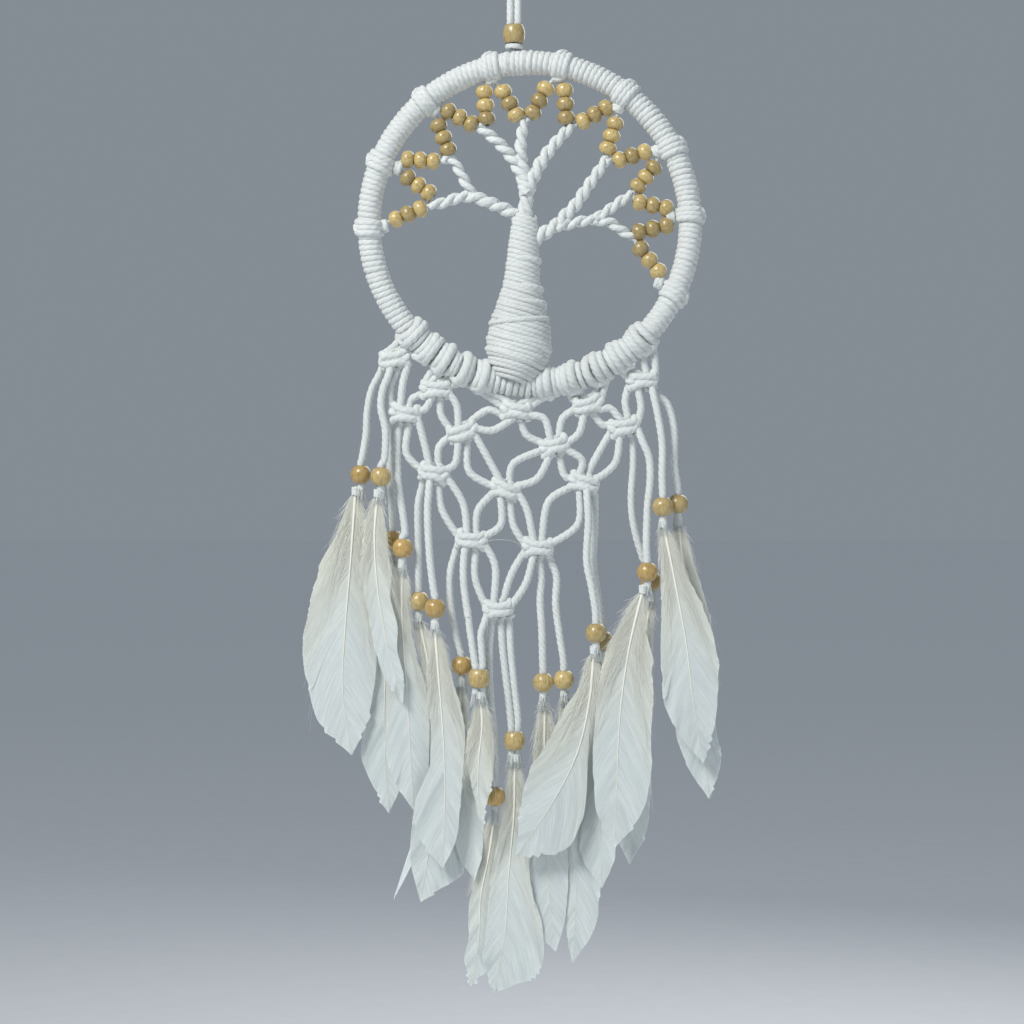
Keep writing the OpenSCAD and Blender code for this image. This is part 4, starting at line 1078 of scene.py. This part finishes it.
def make_tree_beads():
    """Rows of three beads between the ring and the branches, each a little askew."""
    beads = Pile()
    for row in BEAD_ROWS:
        b0, b1 = np.array(row[0]), np.array(row[1])
        gap = np.linalg.norm(b1 - b0) / 2
        for k in range(3):
            c = b0 + (b1 - b0) * k / 2
            ax = (b1 - b0) / np.linalg.norm(b1 - b0) + rng.normal(0, 0.06, 2)
            d = TREE_BEAD_D + rng.normal(0, 0.1)
            lathe(beads, bead_profile(d, gap + 0.02, TREE_BEAD_BORE, TREE_BEAD_LIP),
                  (c[0], rng.normal(0, 0.15), c[1]), (ax[0], rng.normal(0, 0.04), ax[1]),
                  32, tone=rng.uniform(0, 1), seed=rng.uniform(0, 90))
    finish_piece(beads.build("tree_bead_rows", BEADS), "hoop", "bead_wood", "tree_beads")


make_branches()
make_lashings()
make_tree_beads()

# ---------------------------------------------------------------- feathers


OUT = 1 - (1 - np.linspace(0, 1, 10)) ** 1.35  # how far along a barb each of its points lies
VANE_FROM = 0.07  # share of the quill above the first barb
DEEP = np.array([0, 1.0, 0])
FEATHER_LOOKS = [VANE, DOWN, QUILL]


def smooth_noise(n, cells, scale):
    """n values that wander smoothly from one random height to the next."""
    x = np.linspace(0, cells, n)
    v = rng.normal(0, scale, cells + 2)
    u = x - np.floor(x)
    i = np.minimum(x.astype(int), cells)
    u = u * u * (3 - 2 * u)
    return v[i] * (1 - u) + v[i + 1] * u


def strips(pile, paths, across, widths, locs, tone, look):
    """Thin ribbons: paths (n, m, 3), across the way each one's width runs (n, m, 3), widths (n, m)."""
    n, m, _ = paths.shape
    a = paths + across * widths[..., None] / 2
    b = paths - across * widths[..., None] / 2
    v = np.stack([a, b], axis=2).reshape(-1, 3)
    base = (np.arange(n) * m * 2)[:, None] + (np.arange(m - 1) * 2)[None]
    q = np.stack([base, base + 1, base + 3, base + 2], axis=-1).reshape(-1, 4)
    loc = np.repeat(locs, 2, axis=1).reshape(-1, 3)
    tones = np.stack([np.repeat(tone, 2, axis=1).ravel(), np.zeros(n * m * 2)], axis=1)
    pile.add(v, q, np.zeros((0, 3), int), loc, tones, FEATHER_LOOKS.index(look))


def barb_headings(path):
    d = np.gradient(path, axis=1)
    return d / np.linalg.norm(d, axis=-1)[..., None]


class Quill:
    """A feather's quill: places on it are given as t, from 0 at its root to 1 at its tip."""

    def __init__(self, route, depth, bow):
        self.line = spline(in_space(route, depth, depth), 24)
        self.s = lengths(self.line)
        self.size = self.s[-1]
        self.bow = bow

    def at(self, t):
        t = np.clip(t, 0, 1)
        p = np.stack([np.interp(t * self.size, self.s, self.line[:, k]) for k in range(3)], axis=-1)
        p[..., 1] += self.bow * np.sin(math.pi * t)
        return p

    def heading(self, t):
        h = self.at(t + 0.01) - self.at(t - 0.01)
        return h / np.linalg.norm(h, axis=-1)[..., None]

    def barbs(self, t0, t1, w, side, belly, reach):
        """Curves from the quill at t0 out to a place w beside it at t1."""
        n0 = np.cross(self.heading(t0), DEEP)
        n1 = np.cross(self.heading(t1), DEEP)
        p0 = self.at(t0)
        p2 = self.at(t1) + n1 * (side * w * reach)[:, None]
        p1 = p0 + n0 * (side * w * belly)[:, None] + self.heading(t0) * (w * 0.75)[:, None]
        u = OUT[None, :, None]
        return p0[:, None] * (1 - u) ** 2 + 2 * p1[:, None] * u * (1 - u) + p2[:, None] * u ** 2


def add_vane(pile, quill, depth, side, cant, grid, stations):
    """One side's hooked barbs, edge to edge; stations are its half-widths at the places in grid."""
    size = quill.size
    n = int(size / 0.33)
    t0 = np.linspace(VANE_FROM, 0.994, n)
    # a barb sweeps twice as far along the quill as it reaches out from it
    ends = np.linspace(0, 1, 400)
    roots = np.maximum.accumulate(ends - 2.0 * np.interp(ends, grid, stations) / size) + ends * 1e-4
    t1 = np.interp(t0, roots, ends)
    w = np.maximum(np.interp(t1, grid, stations), 0.2)
    # now and then the vane has split: barbs on either side of the split draw apart
    cuts = np.sort(np.concatenate([rng.uniform(0.1, 0.4, 1), rng.uniform(0.45, 0.93, 3)]))
    for c in cuts:
        gape = rng.uniform(0.25, 1.3) / size
        away = (t0 - c) * size
        t1 = t1 + np.sign(away) * gape * np.exp(-np.abs(away) / 5.0)
    reach = 1 + smooth_noise(n, 16, 0.018) + rng.normal(0, 0.004, n)
    reach *= 1 - 0.3 * np.exp(-((t0 - VANE_FROM) * size / 7.0)) * rng.uniform(0, 1, n)
    path = quill.barbs(t0, np.clip(t1, 0, 1), w, side, 0.5, reach)
    out = w[:, None] * OUT[None]
    wave = smooth_noise(n, 10, 0.45)[:, None] * OUT[None] ** 2 + 0.03 * rng.normal(0, 1, n)[:, None]
    path[..., 1] += wave + side * cant * out + (0.10 * out - 0.0045 * out ** 2)
    tilt = (0.12 + smooth_noise(n, 22, 0.13))[:, None, None]
    across = np.cross(barb_headings(path), DEEP)
    across /= np.linalg.norm(across, axis=-1)[..., None]
    across = across * np.cos(tilt) + DEEP * np.sin(tilt)
    apart = np.linalg.norm(np.gradient(path, axis=0), axis=-1)
    taper = np.interp(OUT, [0, 0.95, 1], [1.8, 1.8, 0.7])[None]
    widths = np.clip(apart, size / n, 1.2) * taper * rng.uniform(0.92, 1.12, n)[:, None]
    run = np.linalg.norm(np.diff(path, axis=1), axis=-1)
    run = np.concatenate([np.zeros((n, 1)), np.cumsum(run, axis=1)], axis=1)
    along = np.broadcast_to((t0 * size)[:, None], run.shape)
    locs = np.stack([run, along, np.full(run.shape, side * 7.0 + depth)], axis=-1)
    strips(pile, path, across, widths, locs, np.clip(1 - run / 1.6, 0, 1) * 0.5, VANE)


def add_down(pile, quill, side, grid, stations):
    """One side's down near the root: long soft barbs with no hooks, each drooping and curling its own way."""
    k, m = 380, len(OUT)
    t0 = rng.uniform(0, 1, k) ** 1.3 * 0.3
    w = np.interp(t0 + 0.06, grid, stations) * rng.uniform(0.3, 1.1, k) + rng.uniform(0, 2.6, k) ** 1.2
    t1 = t0 + rng.uniform(1.0, 4.2, k) * w / quill.size
    path = quill.barbs(t0, t1, w, side, 0.6, np.ones(k))
    path[..., 1] += rng.uniform(-1.1, 1.1, (k, 1)) * OUT[None]
    path += np.cumsum(rng.normal(0, 0.13, path.shape), axis=1) * [1, 0.5, 1]
    path += (rng.normal(0, 0.7, (k, 1, 3)) * [1, 0.4, 1]) * (OUT ** 2)[None, :, None]
    across = np.cross(barb_headings(path), DEEP + rng.normal(0, 0.3, (k, 1, 3)))
    widths = np.interp(OUT, [0, 1], [0.19, 0.05])[None] * rng.uniform(0.6, 1.1, (k, 1))
    along = np.broadcast_to((t0 * quill.size)[:, None], (k, m))
    locs = np.stack([np.broadcast_to(OUT * 6, (k, m)), along, np.full((k, m), 3.0)], axis=-1)
    strips(pile, path, across, widths, locs, np.zeros((k, m)), DOWN)


def add_spike(pile, depth):
    """A tuft that has sprung out of the vane's left edge."""
    p = spline(in_space(SPIKE, depth, depth), 8)
    side = frames(p)[1]
    v = np.linspace(0, 1, len(p))
    for j in range(9):
        fan = (j - 4) * 0.36 * np.sin(math.pi * np.clip(v * 0.9 + 0.1, 0, 1))
        wide = 0.5 * np.sin(math.pi * np.clip(v * 0.95 + 0.05, 0, 1)) + 0.05
        locs = np.stack([v * 30, np.full(len(p), 80.0 + j), np.zeros(len(p))], axis=-1)
        path = p + side * fan[:, None] + [0, 0.05 * j, 0]
        strips(pile, path[None], side[None], wide[None], locs[None], np.zeros((1, len(p))), VANE)


def add_shaft(pile, quill):
    """The horny shaft, from a little above the root to the tip, just in front of the vane."""
    t = np.linspace(-0.02, 0.97, 60)
    p = quill.at(t)
    root = np.zeros(1)
    p[t < 0] = quill.at(root)[0] - quill.heading(root)[0] * (-t[t < 0] * quill.size)[:, None]
    p[:, 1] -= 0.18
    rad = np.interp(t, [-0.02, 0.05, 0.3, 0.7, 1], [0.66, 0.64, 0.34, 0.16, 0.06])
    rope(pile, p, 2.0, plies=0, sides=10, radii=rad, squash=0.8, mat=FEATHER_LOOKS.index(QUILL))


def make_feather(name, f):
    pendant, depth, route, left, right = f
    quill = Quill(route, depth, rng.uniform(-0.8, 0.8))
    cant = rng.uniform(-0.08, 0.08)
    pile = Pile()
    for side, half in ((-1, left), (1, right)):
        stations = spline([(w, 0, 0) for w in half], 10)[:, 0]
        grid = np.linspace(0, 1, len(stations))
        add_vane(pile, quill, depth, side, cant, grid, stations)
        add_down(pile, quill, side, grid, stations)
    if name == "feather_04":
        add_spike(pile, depth)
    add_shaft(pile, quill)
    ob = pile.build(name, FEATHER_LOOKS)
    finish_piece(ob, "pendant_" + pendant, "feather", "feather_" + pendant)


seen = {}
for f in FEATHERS:
    seen[f[0]] = seen.get(f[0], 0) + 1
    make_feather("feather_%s%s" % (f[0], "" if seen[f[0]] == 1 else "b"), f)

# ---------------------------------------------------------------- floor, light and world


def make_stage():
    """A pale floor far below the hanging object, three soft lights and a plain grey-blue world."""
    me = bpy.data.meshes.new("floor")
    z, far = -0.80, 40
    me.from_pydata([(-far, -far, z), (far, -far, z), (far, far, z), (-far, far, z)], [], [(0, 1, 2, 3)])
    ob = bpy.data.objects.new("floor", me)
    bpy.context.collection.objects.link(ob)
    m, nt, b, _ = nodes_of("floor_paper")
    co = nt.nodes.new("ShaderNodeTexCoord")
    grain = noise(nt, co.outputs["Object"], 30, 2)
    col = ramp(nt, grain, [(0.3, (0.945, 0.95, 0.96)), (0.7, (0.97, 0.975, 0.98))])
    nt.links.new(col, b.inputs["Base Color"])
    b.inputs["Roughness"].default_value = 1.0
    b.inputs["Specular IOR Level"].default_value = 0.0
    me.materials.append(m)

    def area(name, loc, size, power, colour):
        lt = bpy.data.lights.new(name, "AREA")
        lt.shape = "SQUARE"
        lt.size = size
        lt.energy = power
        lt.color = colour
        o = bpy.data.objects.new(name, lt)
        bpy.context.collection.objects.link(o)
        o.location = loc
        o.rotation_euler = (Vector((0, 0, -0.3)) - Vector(loc)).to_track_quat("-Z", "Y").to_euler()

    area("key", (-0.75, -0.95, 0.7), 0.5, 21, (1.0, 0.99, 0.96))
    area("fill", (1.3, -1.2, -0.1), 1.1, 4, (0.93, 0.96, 1.0))
    area("back", (0.5, 1.2, 0.4), 0.9, 6, (0.95, 0.98, 1.0))
    world = bpy.data.worlds.new("studio")
    bpy.context.scene.world = world
    world.use_nodes = True
    bg = world.node_tree.nodes["Background"]
    bg.inputs[0].default_value = (0.235, 0.265, 0.30, 1)
    bg.inputs[1].default_value = 1.0
    bpy.context.scene.view_settings.view_transform = "Standard"


make_stage()
